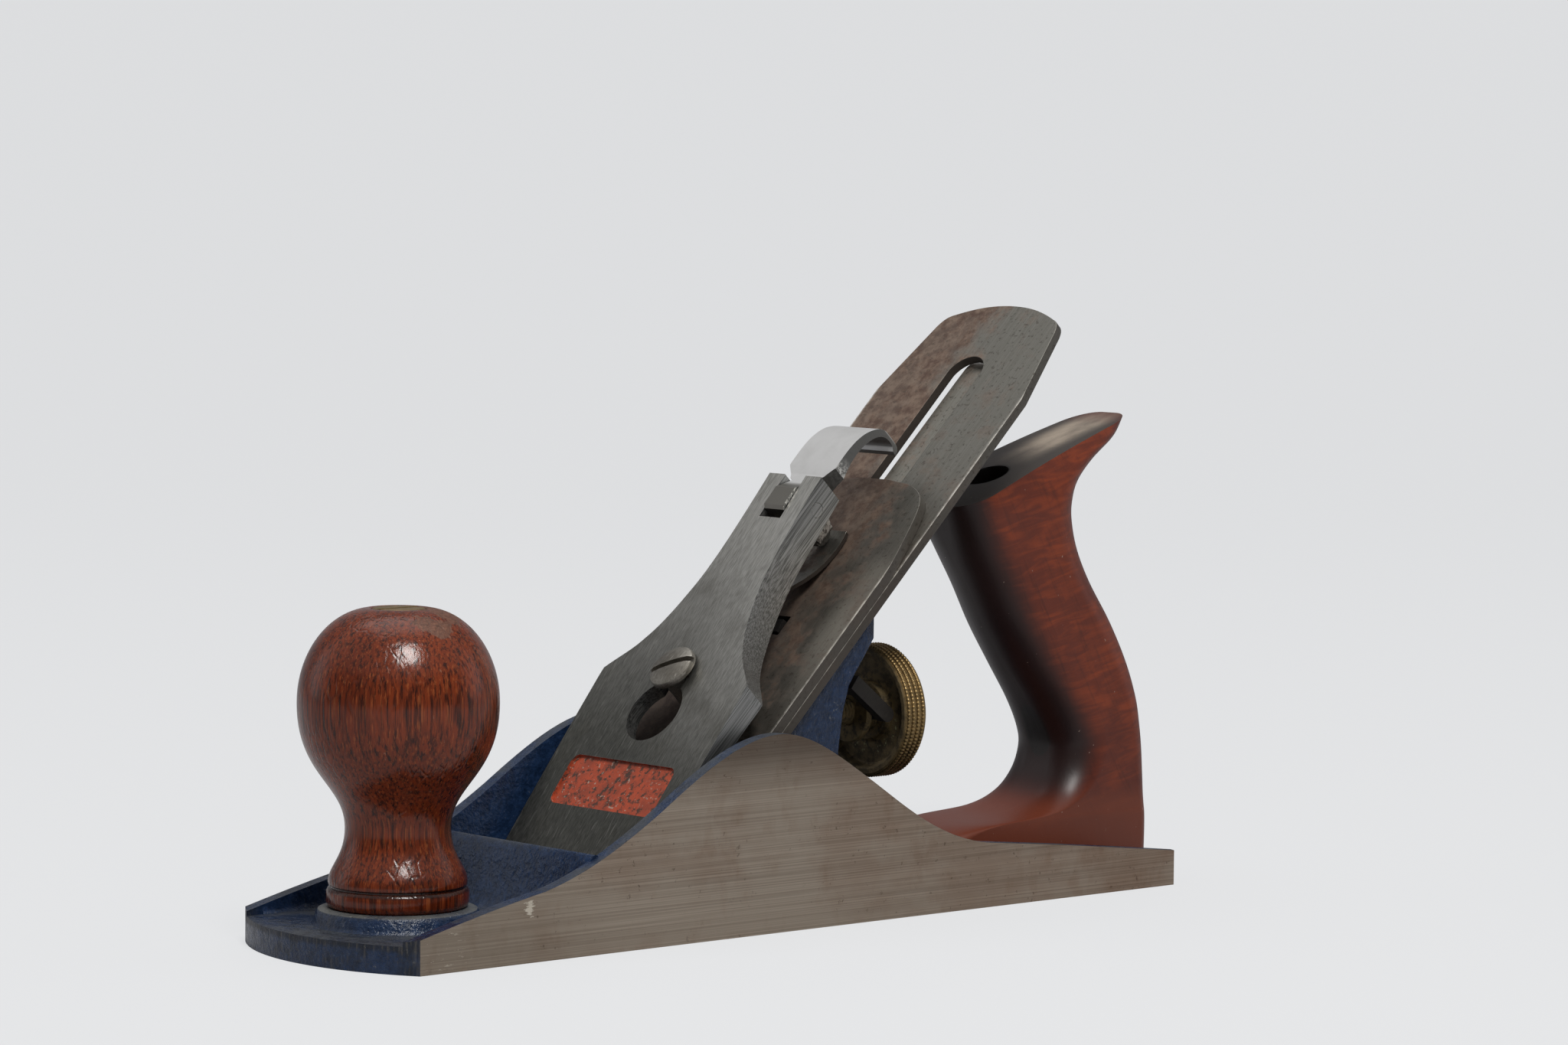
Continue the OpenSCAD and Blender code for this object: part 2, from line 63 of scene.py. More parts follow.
# %% [markdown]
# ## Two ways to say where a point is
# Most of the plane is upright and square, but the frog, the irons and the cap lie on a bed at 45 degrees.
# On that bed it is easier to say how far up the slope a point is, how far across, and how high above it.
# One matrix turns such a place into the plane's own X, Y and Z.

# %% The bed
BED_FOOT = -47.3
SLOPE = 1 / sqrt(2)
ON_BED = Matrix(((SLOPE, 0, -SLOPE, BED_FOOT * MM), (0, 1, 0, 0), (SLOPE, 0, SLOPE, 0), (0, 0, 0, 1)))
UPRIGHT = Matrix.Identity(4)

# %% Places and sizes that several pieces share, in millimetres
KNOB_X, KNOB_FOOT = -96.0, 9.9
TOTE_FOOT_X, PAD_TOP, LEAN = 114.0, 6.0, 19.8
FROG_SCREW_X, FROG_SCREW_Y, ADJUSTER_Z = -10.0, 13.0, 13.5
WHEEL_X, WHEEL_Z = 41.2, 44.2
IRON = 50.8 / 2


def curve(*points, steps=12):
    """Points along a cubic curve, without its last point."""
    a, b, c, d = [Vector(p) for p in points]
    rows = []
    for i in range(steps):
        t = i / steps
        rows.append(tuple((1 - t) ** 3 * a + 3 * t * (1 - t) ** 2 * b + 3 * t * t * (1 - t) * c + t ** 3 * d))
    return rows


def both_sides(outline):
    """An outline that runs up one side, and its mirror image back down the other."""
    return outline + [(x, -y) for x, y in reversed(outline) if abs(y) > 1e-6]


print("the bed rises from x =", BED_FOOT, "mm")

# %% [markdown]
# ## Cutting solid shapes
# A pattern maker builds a casting from boards and turned pieces, and cuts holes in it. The same works here:
# a board is an outline pulled straight, a turned piece is a profile spun round an axis, and Boolean
# modifiers join or cut them. The result is read back as a plain mesh, so nothing is left to recompute.


# %% Boards, turned pieces and cuts
def new_piece(name, verts, faces, place=UPRIGHT):
    """A mesh whose points are given in millimetres, set in its place in metres."""
    mesh = bpy.data.meshes.new(name)
    mesh.from_pydata([place @ (Vector(v) * MM) for v in verts], [], faces)
    piece = bpy.data.objects.new(name, mesh)
    bpy.context.scene.collection.objects.link(piece)
    return piece


def face_out(piece):
    """Merges what touches and turns every face outwards."""
    bm = bmesh.new()
    bm.from_mesh(piece.data)
    bmesh.ops.remove_doubles(bm, verts=bm.verts, dist=1e-6)
    bmesh.ops.recalc_face_normals(bm, faces=bm.faces)
    bm.to_mesh(piece.data)
    bm.free()
    return piece


def board(name, outline, low, high, across="z", place=UPRIGHT):
    """An outline pulled from low to high across the y or the z axis."""
    def point(a, b, h):
        return (a, h, b) if across == "y" else (a, b, h)
    count = len(outline)
    verts = [point(a, b, h) for h in (low, high) for a, b in outline]
    faces = [list(range(count)), list(range(2 * count - 1, count - 1, -1))]
    faces += [[i, (i + 1) % count, count + (i + 1) % count, count + i] for i in range(count)]
    return face_out(new_piece(name, verts, faces, place))


def block(name, low, high, place=UPRIGHT):
    """A squared block between two corners."""
    (x0, y0, z0), (x1, y1, z1) = low, high
    return board(name, [(x0, y0), (x1, y0), (x1, y1), (x0, y1)], z0, z1, place=place)


def turned(name, profile, place=UPRIGHT, sides=96):
    """A profile of radius and height spun round the z axis. Points on the axis close it."""
    verts, rings = [], []
    for radius, height in profile:
        if radius < 1e-6:
            rings.append([len(verts)] * sides)
            verts.append((0, 0, height))
            continue
        rings.append(list(range(len(verts), len(verts) + sides)))
        verts += [(radius * cos(2 * pi * k / sides), radius * sin(2 * pi * k / sides), height)
                  for k in range(sides)]
    faces = []
    for low, high in zip(rings, rings[1:] + rings[:1]):
        for k in range(sides):
            corner = [low[k], low[(k + 1) % sides], high[(k + 1) % sides], high[k]]
            distinct = list(dict.fromkeys(corner))
            if len(distinct) > 2:
                faces.append(distinct)
    return face_out(new_piece(name, verts, faces, place))


def applied(piece):
    """Turns a piece with modifiers into a plain mesh."""
    mesh = bpy.data.meshes.new_from_object(piece.evaluated_get(bpy.context.evaluated_depsgraph_get()))
    piece.modifiers.clear()
    piece.data = mesh
    return piece


def combine(piece, tools, operation):
    """Joins tools to a piece, or cuts them out of it."""
    for tool in tools:
        step = piece.modifiers.new("cut", "BOOLEAN")
        step.operation = operation
        step.solver = "EXACT"
        step.object = tool
        applied(piece)
        bpy.data.objects.remove(tool)
    return piece


def pin(radius, low, high, place=UPRIGHT, sides=64):
    """A plain round bar, to cut a bore with."""
    return turned("bore", [(0, low), (radius, low), (radius, high), (0, high)], place, sides)


def at(x, y, z, lean=0.0, axis="Y"):
    """A place in the upright frame, in millimetres, leaning in degrees."""
    return Matrix.Translation(Vector((x, y, z)) * MM) @ Matrix.Rotation(radians(lean), 4, axis)


def bed_at(s, y=0.0, n=0.0):
    """A place on the bed, whose z axis stands out of it."""
    return ON_BED @ at(s, y, n)


ALONG_X = Matrix.Rotation(pi / 2, 4, "Y")
ALONG_Y = Matrix.Rotation(pi / 2, 4, "X")
print("tools ready")

# %% [markdown]
# ## Easing the edges
# No real edge is perfectly sharp. A file, a polishing belt or sand in a mould rounds it, and that narrow
# band is what catches the light. A Bevel modifier makes it. Faces left flat between beveled edges are
# shaded smoothly only where they meet at a shallow angle.


# %% Bevels and shading
def eased(piece, width, segments=2, angle=30, merge=0.4):
    """Joins flat faces, rounds the sharp edges by a width in millimetres, and shades the rest smooth."""
    bm = bmesh.new()
    bm.from_mesh(piece.data)
    bmesh.ops.remove_doubles(bm, verts=bm.verts, dist=2e-6)
    bmesh.ops.dissolve_limit(bm, angle_limit=radians(merge), verts=bm.verts, edges=bm.edges)
    bm.to_mesh(piece.data)
    bm.free()
    step = piece.modifiers.new("edge", "BEVEL")
    step.width = width * MM
    step.segments = segments
    step.limit_method = "ANGLE"
    step.angle_limit = radians(angle)
    step.miter_outer = "MITER_ARC"
    applied(piece)
    shaded(piece)
    level = piece.modifiers.new("flat faces", "WEIGHTED_NORMAL")
    level.weight = 100
    level.keep_sharp = True
    return applied(piece)


def shaded(piece, angle=32):
    """Smooth shading, broken at sharp edges."""
    piece.data.set_sharp_from_angle(angle=radians(angle))
    for face in piece.data.polygons:
        face.use_smooth = True
    return piece


def cad_copy(node):
    """A copy of a CAD node's mesh, for eased() to merge and finish."""
    source = frame["nodes"][node]
    piece = bpy.data.objects.new(node + "_dressed", source.data.copy())
    piece.data.materials.clear()
    bpy.context.scene.collection.objects.link(piece)
    return piece


BODY_OF = {node: body for body, nodes in frame["record"]["behaviour"]["bodies"].items() for node in nodes}


def stands_for(piece, node):
    """Puts a finished piece in the place of a CAD node, on the same body."""
    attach(piece, BODY_OF[node])
    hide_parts(node)
    return piece


print("bodies:", ", ".join(sorted(set(BODY_OF.values()))))

# %% [markdown]
# ## Shader arithmetic
# A finish is a sum of simple things: grain, dirt, worn places. Writing it as arithmetic is easier than
# wiring boxes, so one small class wraps a socket and lets Python's own operators add the Math nodes.


# %% A wire and a finish
class Wire:
    """One output of a shader node, for use in ordinary expressions."""

    def __init__(self, finish, socket):
        self.finish = finish
        self.socket = socket

    def math(self, operation, *others, first=None):
        values = (self, *others) if first is None else (first, self)
        inputs = dict(enumerate(values))
        return self.finish.node("ShaderNodeMath", {"operation": operation}, inputs)

    def __add__(self, other):
        return self.math("ADD", other)

    def __sub__(self, other):
        return self.math("SUBTRACT", other)

    def __mul__(self, other):
        return self.math("MULTIPLY", other)

    def __rsub__(self, other):
        return self.math("SUBTRACT", first=other)

    __radd__ = __add__
    __rmul__ = __mul__

    def within(self, low, high):
        """0 below low, 1 above high, and a soft rise between. Low above high turns it round."""
        flip = low > high
        low, high = min(low, high), max(low, high)
        rise = self.finish.node("ShaderNodeMapRange", {"interpolation_type": "SMOOTHSTEP"},
                                {"Value": self, "From Min": low, "From Max": high})
        return 1 - rise if flip else rise

    def clamped(self):
        return self.finish.node("ShaderNodeClamp", {}, {"Value": self})


class Finish:
    """A material that is built up from wires."""

    def __init__(self, name):
        self.material = bpy.data.materials.new(name)
        self.material.use_nodes = True
        self.nodes = self.material.node_tree.nodes
        self.links = self.material.node_tree.links
        self.shader = next(n for n in self.nodes if n.type == "BSDF_PRINCIPLED")
        self.place = Wire(self, self.nodes.new("ShaderNodeTexCoord").outputs["Object"])

    def node(self, kind, settings, inputs, output=0):
        node = self.nodes.new(kind)
        for key, value in settings.items():
            setattr(node, key, value)
        for key, value in inputs.items():
            self.plug(node.inputs[key], value)
        return Wire(self, node.outputs[output])

    def plug(self, socket, value):
        if isinstance(value, Wire):
            self.links.new(value.socket, socket)
        else:
            socket.default_value = value

    def set(self, **values):
        for key, value in values.items():
            self.plug(self.shader.inputs[key.replace("_", " ")], value)
        return self

    def mapped(self, scale=(1, 1, 1), turn=(0, 0, 0), shift=(0, 0, 0)):
        """The piece's own coordinates, shifted, turned and then stretched."""
        moved = self.node("ShaderNodeMapping", {"vector_type": "POINT"},
                          {"Vector": self.place, "Location": [-v * MM for v in shift]})
        turned_round = self.node("ShaderNodeMapping", {"vector_type": "POINT"},
                                 {"Vector": moved, "Rotation": [radians(v) for v in turn]})
        return self.node("ShaderNodeMapping", {"vector_type": "POINT"},
                         {"Vector": turned_round, "Scale": scale})

    def noise(self, size, detail=3.0, rough=0.55, stretch=(1, 1, 1), turn=(0, 0, 0), warp=0.0):
        """Noise whose blots are about size millimetres across, drawn out by stretch."""
        place = self.mapped([1 / v for v in stretch], turn)
        return self.node("ShaderNodeTexNoise", {},
                         {"Vector": place, "Scale": 1 / (size * MM), "Detail": detail,
                                                    "Roughness": rough, "Distortion": warp})

    def axes(self, vector=None):
        """The x, y and z of the piece's coordinates, in millimetres."""
        split = self.nodes.new("ShaderNodeSeparateXYZ")
        self.plug(split.inputs[0], vector or self.place)
        return [Wire(self, socket) * 1000.0 for socket in split.outputs]

    def mix(self, factor, low, high):
        """A colour between two colours."""
        node = self.nodes.new("ShaderNodeMix")
        node.data_type = "RGBA"
        self.plug(node.inputs["Factor"], factor)
        for key, colour in ((6, low), (7, high)):
            self.plug(node.inputs[key], colour if isinstance(colour, Wire) else (*colour, 1))
        return Wire(self, node.outputs[2])

    def bump(self, height, depth, strength=1.0, onto=None):
        """A Bump node whose height is in millimetres of relief."""
        inputs = {"Height": height, "Distance": depth * MM, "Strength": strength}
        if onto:
            inputs["Normal"] = onto
        return self.node("ShaderNodeBump", {}, inputs)

    def facing(self):
        """The normal's x, y and z in the piece's own frame."""
        normal = Wire(self, self.nodes.new("ShaderNodeTexCoord").outputs["Normal"])
        split = self.nodes.new("ShaderNodeSeparateXYZ")
        self.plug(split.inputs[0], normal)
        return [Wire(self, socket) for socket in split.outputs]

    def on_bed(self):
        """How far up the bed and how high over it a point is, and how much its face looks out of the bed."""
        x, _, z = self.axes()
        nx, _, nz = self.facing()
        return (x + z - BED_FOOT) * SLOPE, (z - x + BED_FOOT) * SLOPE, (nz - nx) * SLOPE

    def near(self, point, reach):
        """1 at a point, in millimetres, falling to 0 at a distance of reach."""
        squares = [(axis - where) * (axis - where) for axis, where in zip(self.axes(), point)]
        return 1 - (squares[0] + squares[1] + squares[2]).math("SQRT") * (1 / reach)


print("shader arithmetic ready")

# %% [markdown]
# ## Ground iron
# The sole and the cheeks are bare cast iron, ground lengthwise. Grinding leaves fine lines along the
# plane, and years of use add a warm brown bloom with rust toward the back and a pale chip at the toe.
# Noise that is drawn out along X gives the lines, and broad noise gives the bloom.


# %% The cheeks' finish
def ground_iron():
    f = Finish("ground_iron")
    x, _, z = f.axes()
    lines = f.noise(0.22, 3, 0.6, (420, 1, 1))
    coarse = f.noise(0.5, 3, 0.6, (220, 1, 1))
    bloom = f.noise(26, 4, 0.6, (1.5, 1, 1))
    smears = f.noise(7, 4, 0.65, (1, 1, 1.8))
    rust = (bloom.within(0.44, 0.66) * 0.5 + x.within(10, 110) * 0.35
            + smears.within(0.5, 0.7) * 0.25).clamped()
    grey = f.mix(lines.within(0.3, 0.7), (0.262, 0.218, 0.172), (0.372, 0.318, 0.258))
    brown = f.mix(lines.within(0.3, 0.7), (0.178, 0.117, 0.080), (0.275, 0.193, 0.140))
    colour = f.mix(rust, grey, brown)
    colour = f.mix(coarse.within(0.56, 0.76) * 0.26, colour, (0.085, 0.066, 0.052))
    # The crest of the cheek is browner and darker, where hands hold it
    colour = f.mix(z.within(31, 43) * 0.72, colour, (0.062, 0.044, 0.033))
    colour = f.mix(x.within(-50, -100) * 0.22, colour, (0.10, 0.068, 0.036))
    spots = f.noise(1.5, 4, 0.7).within(0.63, 0.69) * bloom.within(0.40, 0.55)
    colour = f.mix(spots * 0.5, colour, (0.055, 0.033, 0.022))
    # Nicks show pale metal: one by the toe, a few along the low front edge and at the heel's corner
    ragged = f.noise(1.1, 4, 0.7, (2.2, 1, 0.6))
    nick = (f.near((-84.4, -32, 12), 3.4) + (ragged - 0.5) * 2.4).within(0.62, 0.7)
    edge_nicks = ragged.within(0.61, 0.66) * (x.within(-92, -116) + x.within(117, 121)).clamped()
    colour = f.mix((nick + edge_nicks * 0.7).clamped(), colour, (0.60, 0.55, 0.46))
    f.set(Base_Color=colour, Roughness=0.36 + lines * 0.18 + rust * 0.12,
          Normal=f.bump(lines, 0.02, 0.45, f.bump(coarse, 0.03, 0.3)))
    f.set(Metallic=0.72)
    return f.material


# %% [markdown]
# ## Blue enamel
# Inside, the casting is dipped in dark blue enamel. It keeps the sandy roughness of the casting, gathers
# grey dust in its corners, and is rubbed to dark iron on the rims that hands and benches touch.


# %% The enamel's finish
def blue_enamel(name="blue_enamel", dusty=1.0, dark=1.0):
    f = Finish(name)
    x, y, z = f.axes()
    nz = f.facing()[2]
    sand = f.noise(0.8, 3, 0.6)
    lumps = f.noise(2.4, 3, 0.6)
    blots = f.noise(12, 4, 0.6)
    up = nz.within(0.35, 0.95)
    dust = (up * blots.within(0.35, 0.65) * 0.65 + lumps.within(0.62, 0.72) * 0.2) * dusty
    deep, bright = [[v * dark for v in c] for c in ((0.005, 0.013, 0.035), (0.015, 0.036, 0.092))]
    base = f.mix((lumps * 0.7 + sand * 0.3).within(0.28, 0.72), deep, bright)
    colour = f.mix(dust.clamped(), base, (0.060, 0.062, 0.058))
    # The lip of the toe: thick lumpy paint, nearly black, with dust in its dimples
    lip = x.within(-104, -114) * up
    colour = f.mix(lip * lumps.within(0.45, 0.6) * 0.7, colour, (0.012, 0.014, 0.018))
    crumbs = f.noise(0.9, 3, 0.7).within(0.66, 0.72)
    from_knob = ((x - KNOB_X) * (x - KNOB_X) + y * y).math("SQRT")
    ring = from_knob.within(19.5, 17.5) * from_knob.within(14.5, 15.7) * z.within(8.2, 9.4) * up
    settled = (crumbs * (lip * 0.8 + ring * 1.4) * dusty + ring * 0.3).clamped()
    colour = f.mix(settled, colour, (0.25, 0.245, 0.20))
    # Rims are rubbed through: the ends, and the front wall's edges
    rim = f.noise(3.5, 4, 0.65).within(0.5, 0.62)
    ends = (x.within(-111, -117) + x.within(119, 123)).clamped() * nz.within(0.8, 0.2)
    top_rim = ends * z.within(4.4, 5.6) * 0.7
    corner = y.within(-27, -31) * ends * 0.6
    cheek_edge = y.math("ABSOLUTE").within(31.5, 31.9) * rim
    worn = (ends * (0.2 + rim * 0.45) + top_rim + corner + cheek_edge).clamped()
    streaks = f.noise(0.7, 3, 0.6, (1, 1, 9)).within(0.5, 0.66)
    iron = f.mix(streaks, (0.022, 0.024, 0.028), (0.082, 0.074, 0.060))
    colour = f.mix(worn * 0.8, colour, iron)
    chips = f.noise(1.2, 4, 0.7).within(0.64, 0.69)
    colour = f.mix(chips * 0.5, colour, (0.13, 0.13, 0.125))
    f.set(Base_Color=colour, Roughness=(0.15 + dust * 0.45 + worn * 0.25 + sand * 0.12).clamped(),
          Metallic=worn * 0.4, Normal=f.bump(sand, 0.3, 0.8, f.bump(lumps * (1 + lip * 4), 0.45, 0.7)))
    f.set(Specular_IOR_Level=0.38)
    return f.material


GROUND_IRON = ground_iron()
BLUE_ENAMEL = blue_enamel()
print("finishes:", GROUND_IRON.name, BLUE_ENAMEL.name)

# %% [markdown]
# ## The body casting
# The body is a flat sole with bowed ends, two cheeks that rise to the middle, a cross rib that closes the
# mouth's front, and bosses for the knob, the frog and the tote. Each is a board or a turned piece, and
# the joined casting is then cut for the mouth and the screws, and its edges eased.

# %% Sizes of the body
SOLE, HALF_WIDTH, BOW, FLOOR, CHEEK = 248.0, 32.0, 9.8, 5.0, 3.4
INNER = HALF_WIDTH - CHEEK
BOW_RADIUS = (HALF_WIDTH ** 2 + BOW ** 2) / (2 * BOW)
CHEEK_CURVES = (
    ((-125, 5), (-110, 8.9), (-95, 12.6), (-80, 15.3)),
    ((-80, 15.3), (-68, 18.3), (-58, 23.6), (-47, 30.3)),
    ((-47, 30.3), (-36, 37.4), (-24, 45), (-13, 45.2)),
    ((-13, 45.2), (-4, 45.3), (4, 40), (14, 33.7)),
    ((14, 33.7), (26, 26.2), (38, 16.2), (56, 14.9)),
    ((56, 14.9), (76, 12.9), (100, 10.2), (125, 7)))


def sole_outline(inset=0.0):
    """The sole seen from above."""
    half = HALF_WIDTH - inset
    rows = [half * (i / 16 - 1) for i in range(33)]
    ends = [(SOLE / 2 - BOW_RADIUS - inset + sqrt(BOW_RADIUS ** 2 - y * y), y) for y in rows]
    return ends + [(-x, -y) for x, y in ends]


def cheek_line(steps=14):
    return [p for c in CHEEK_CURVES for p in curve(*c, steps=steps)] + [(125, 7)]


# %% Casting the body
def cast_body():
    floor = board("body_shell", sole_outline(), 0, FLOOR)
    front = [p for p in sole_outline(0.001) if p[0] < 0]
    toe = board("toe", front + [(-100, 0.01 - HALF_WIDTH), (-100, HALF_WIDTH - 0.01)], 1, FLOOR + 1.2)
    sides = []
    for side in (-1, 1):
        low, high = sorted((side * INNER, side * HALF_WIDTH))
        rise = board("cheek", cheek_line() + [(125, 0.3), (-125, 0.3)], low, high, "y")
        cove = [(side * (INNER + 0.3), FLOOR - 0.4)] + [
            (side * (INNER - 3.0 + 3.0 * cos(a)), FLOOR + 3.0 - 3.0 * sin(a))
            for a in [pi / 2 * k / 6 for k in range(7)]] + [(side * (INNER - 3.0), FLOOR - 0.4)]
        fillet = new_piece("cove", [(x, y, z) for x in (-SOLE / 2 + 12, SOLE / 2 - 12) for y, z in cove],
                           [list(range(9)), list(range(17, 8, -1))]
                           + [[i, (i + 1) % 9, 9 + (i + 1) % 9, 9 + i] for i in range(9)])
        sides += [rise, face_out(fillet)]
    trim = board("trim", sole_outline(), -5, 70)
    rib_line = [(-77, 4.5), (-73.5, 5.6), (-70.5, 7.5), (-68.2, 11), (-66.6, 16), (-65.7, 20), (-65.0, 21.3),
                (-64.2, 21.8), (-63.4, 21.6), (-62.6, 20.6), (-60.4, 16), (-58, 10.5), (-57.2, 4.5)]
    rib = board("rib", rib_line, -INNER - 1, INNER + 1, across="y")
    boss = turned("boss", [(0, 3), (20.4, 3), (20.2, 5.4), (19.0, 6.2), (18.4, 7.2), (18.2, 8.6), (17.6, 9.5),
                           (16.6, KNOB_FOOT), (0, KNOB_FOOT)], at(KNOB_X, 0, 0))
    pad_line = [(118, 13), (118, -13)] + [(63 + 13 * cos(a), 13 * sin(a)) for a in
                                          [pi * (1.5 - k / 16) for k in range(17)]]
    pad = board("pad", pad_line, 3, PAD_TOP)
    seats = [block("ledge", (-42, -24.5, 3), (-29, 24.5, 7)), block("seat", (-22, -22, 3), (7, 22, 11)),
             block("post", (18, -7, 3), (26.5, 7, 13.5)),
             pin(7, -1, 7.5, Matrix.Translation((0.019, 0, 0.0135)) @ ALONG_X)]
    combine(floor, [toe] + sides + [rib], "UNION")
    combine(floor, [trim], "INTERSECT")
    combine(floor, [boss, pad] + seats, "UNION")
    mouth = block("mouth", (-53.3, -27.4, -1), (-49, 27.4, 6))
    slope = [(-50.9, 8.2), (-50.9, 3), (-47.9, -0.2), (-44, -0.2), (-40.3, 8.2)]
    bed_cut = board("bed_cut", slope, -27.4, 27.4, "y")
    bores = [pin(3, 2, 20, at(KNOB_X, 0, 0))] + [pin(2.5, 2.5, 20, at(FROG_SCREW_X, side * FROG_SCREW_Y, 0))
                                                 for side in (-1, 1)]
    along = Matrix.Translation((0.010, 0, 0.0135)) @ ALONG_X
    leaning = at(TOTE_FOOT_X, 0, PAD_TOP, -LEAN)
    combine(floor, [mouth, bed_cut, pin(3.05, 0, 30, along), pin(3, -4, 16, leaning)] + bores, "DIFFERENCE")
    return eased(floor, 0.55, 2, 33)


body = cast_body()
body.data.materials.append(BLUE_ENAMEL)
body.data.materials.append(GROUND_IRON)
for face in body.data.polygons:
    across, low = face.center.y, face.center.z
    bare_cheek = abs(face.normal.y) > 0.97 and abs(across) > 0.0318
    face.material_index = 1 if bare_cheek or (face.normal.z < -0.97 and low < 0.0003) else 0
stands_for(body, "body_casting")
print("body:", len(body.data.polygons), "faces")

# %% [markdown]
# ## Varnished beech
# Knob and tote are stained red-brown under a thick old varnish. On the knob the grain stands upright in
# fine light and dark streaks, the varnish has crazed, and hands have rubbed it through at the crown. On
# the tote the sides are painted a lit orange over the flame figure, and the front is painted nearly black as
# shade.


# %% The wood's two finishes
def knob_wood():
    f = Finish("knob_wood")
    z = f.axes()[2]
    sway = f.noise(24, 2, 0.5, (1, 1, 2))
    streaks = f.noise(0.62, 3, 0.6, (1, 1, 34), warp=0.12)
    fine = f.noise(0.42, 3, 0.65, (1, 1, 40))
    # Rings of the log, cut by the turner into arches
    log = f.mapped((1, 1, 0.32), (8, 14, 0), (-118, 14, 30))
    rings = f.node("ShaderNodeTexWave", {"wave_type": "RINGS", "rings_direction": "Z"},
                   {"Vector": log, "Scale": 118.0, "Distortion": 5.0, "Detail": 3.0, "Detail Scale": 1.4,
                    "Detail Roughness": 0.6}, output=1)
    dark = (rings.within(0.5, 0.95) * 0.22 + streaks.within(0.46, 0.62) * 0.75).clamped()
    colour = f.mix(sway.within(0.3, 0.7), (0.160, 0.027, 0.007), (0.092, 0.014, 0.004))
    colour = f.mix(dark, colour, (0.022, 0.005, 0.003))
    colour = f.mix(fine.within(0.54, 0.66) * 0.45, colour, (0.31, 0.085, 0.024))
    # Hands have rubbed the varnish off the crown's front, down to paler wood
    edge = f.noise(6, 5, 0.7)
    spread = f.near((-88.5, -7, 76), 10.5).math("MAXIMUM", f.near((-97, -14, 73), 7))
    rubbed = (spread + (edge - 0.5) * 1.8).within(0.42, 0.52) * z.within(62, 68)
    pale = f.mix(fine.within(0.35, 0.7), (0.092, 0.042, 0.026), (0.17, 0.085, 0.054))
    colour = f.mix(rubbed * 0.8, colour, pale)
    flakes = f.noise(1.8, 4, 0.7, (1, 1, 4)).within(0.67, 0.70)
    colour = f.mix(flakes * 0.5, colour, (0.26, 0.135, 0.085))
    # Crazing: the walls between cells, drawn out upright
    cells = f.node("ShaderNodeTexVoronoi", {"feature": "DISTANCE_TO_EDGE"},
                   {"Vector": f.mapped((1, 1, 0.28)), "Scale": 420.0, "Randomness": 1.0})
    crack = cells.within(0.12, 0.0) * f.noise(14, 2, 0.5).within(0.35, 0.6)
    # Painted shade: a dark band is painted round the scribed groove on the foot; the crazing cracks join it
    groove_shade = (z.within(13.2, 13.9) * z.within(15.3, 14.7)).clamped()
    colour = f.mix((groove_shade * 0.8 + crack * 0.25).clamped(), colour, (0.016, 0.006, 0.004))
    grain = f.bump(streaks, 0.10, 0.55, f.bump(crack, -0.08, 0.6))
    f.set(Base_Color=colour, Roughness=(0.13 + rubbed * 0.36 + fine * 0.1).clamped(), Normal=grain)
    f.set(Specular_IOR_Level=0.36)
    return f.material


def tote_wood():
    f = Finish("tote_wood")
    x, y, z = f.axes()
    nx, ny, nz = f.facing()
    # The grain runs along the grip, and the figure crosses it in small flames
    streaks = f.noise(1.2, 3, 0.6, (1.2, 1, 16), (0, 28, 0), 0.2)
    flame = f.noise(3.4, 4, 0.6, (3.2, 2, 0.55), (0, 12, 0), 0.7)
    blots = f.noise(26, 3, 0.5)
    side = ny.math("ABSOLUTE")
    # Painted light: the sides are painted a lit orange above the base, broken by broad blots and the flame
    # figure
    painted_light = (side.within(0.6, 0.97) * z.within(9, 22) * (blots.within(0.35, 0.6) * 0.55 + 0.2)
            * (0.3 + flame.within(0.4, 0.66))).clamped()
    colour = f.mix(blots.within(0.3, 0.7), (0.070, 0.014, 0.008), (0.105, 0.019, 0.009))
    colour = f.mix(painted_light, colour, (0.205, 0.036, 0.010))
    colour = f.mix(streaks.within(0.5, 0.75) * 0.35, colour, (0.032, 0.009, 0.006))
    colour = f.mix(z.within(24, 17) * 0.6, colour, (0.165, 0.040, 0.018))
    # Painted shade: faces that look toward the toe are painted nearly black
    front = nx.within(-0.12, -0.72) * z.within(15, 26)
    colour = f.mix(front * 0.93, colour, (0.014, 0.008, 0.008))
    # The sloping top is grey with dirt, worn pale along its middle, and its edges are chipped
    lip = nz.within(0.3, 0.75) * z.within(78, 88)
    worn = f.noise(9, 4, 0.65, (2, 1, 1)).within(0.3, 0.7)
    middle = y.math("ABSOLUTE").within(8.5, 2) * x.within(84, 100)
    top = f.mix((middle * (0.4 + worn * 0.6)).clamped(), (0.046, 0.041, 0.036), (0.36, 0.30, 0.235))
    colour = f.mix(lip * 0.94, colour, top)
    colour = f.mix(x.within(112, 122) * z.within(104, 109) * 0.7, colour, (0.075, 0.014, 0.010))
    lean = radians(LEAN)
    from_stud = (x - TOTE_FOOT_X) * cos(lean) + (z - PAD_TOP) * sin(lean)
    # Painted shade: inside the counterbore round the nut, the wood is painted nearly black
    bore = (from_stud * from_stud + y * y).math("SQRT").within(6.3, 5.8)
    colour = f.mix(bore, colour, (0.012, 0.009, 0.008))
    specks = f.noise(1.3, 2, 0.5).within(0.75, 0.79)
    colour = f.mix(specks * 0.6, colour, (0.34, 0.25, 0.20))
    dings = f.noise(5, 4, 0.7).within(0.7, 0.76)
    f.set(Base_Color=colour, Roughness=(0.33 + lip * 0.2 + blots * 0.12 + dings * 0.2).clamped(),
          Normal=f.bump(streaks, 0.05, 0.5, f.bump(blots, 0.4, 0.25)))
    f.set(Specular_IOR_Level=0.36)
    return f.material


# %% [markdown]
# ## The metals
# Every steel part has its own history. The lever cap is ground along its length, the cutter is browned
# with rust on its far half and the cap iron nearly all over, the screws keep plain machined faces, and the
# brass wheel is dark with greenish dirt except where fingers polish its rim.


# %% The steel and brass finishes
UP_THE_BED = (0, 45, 0)


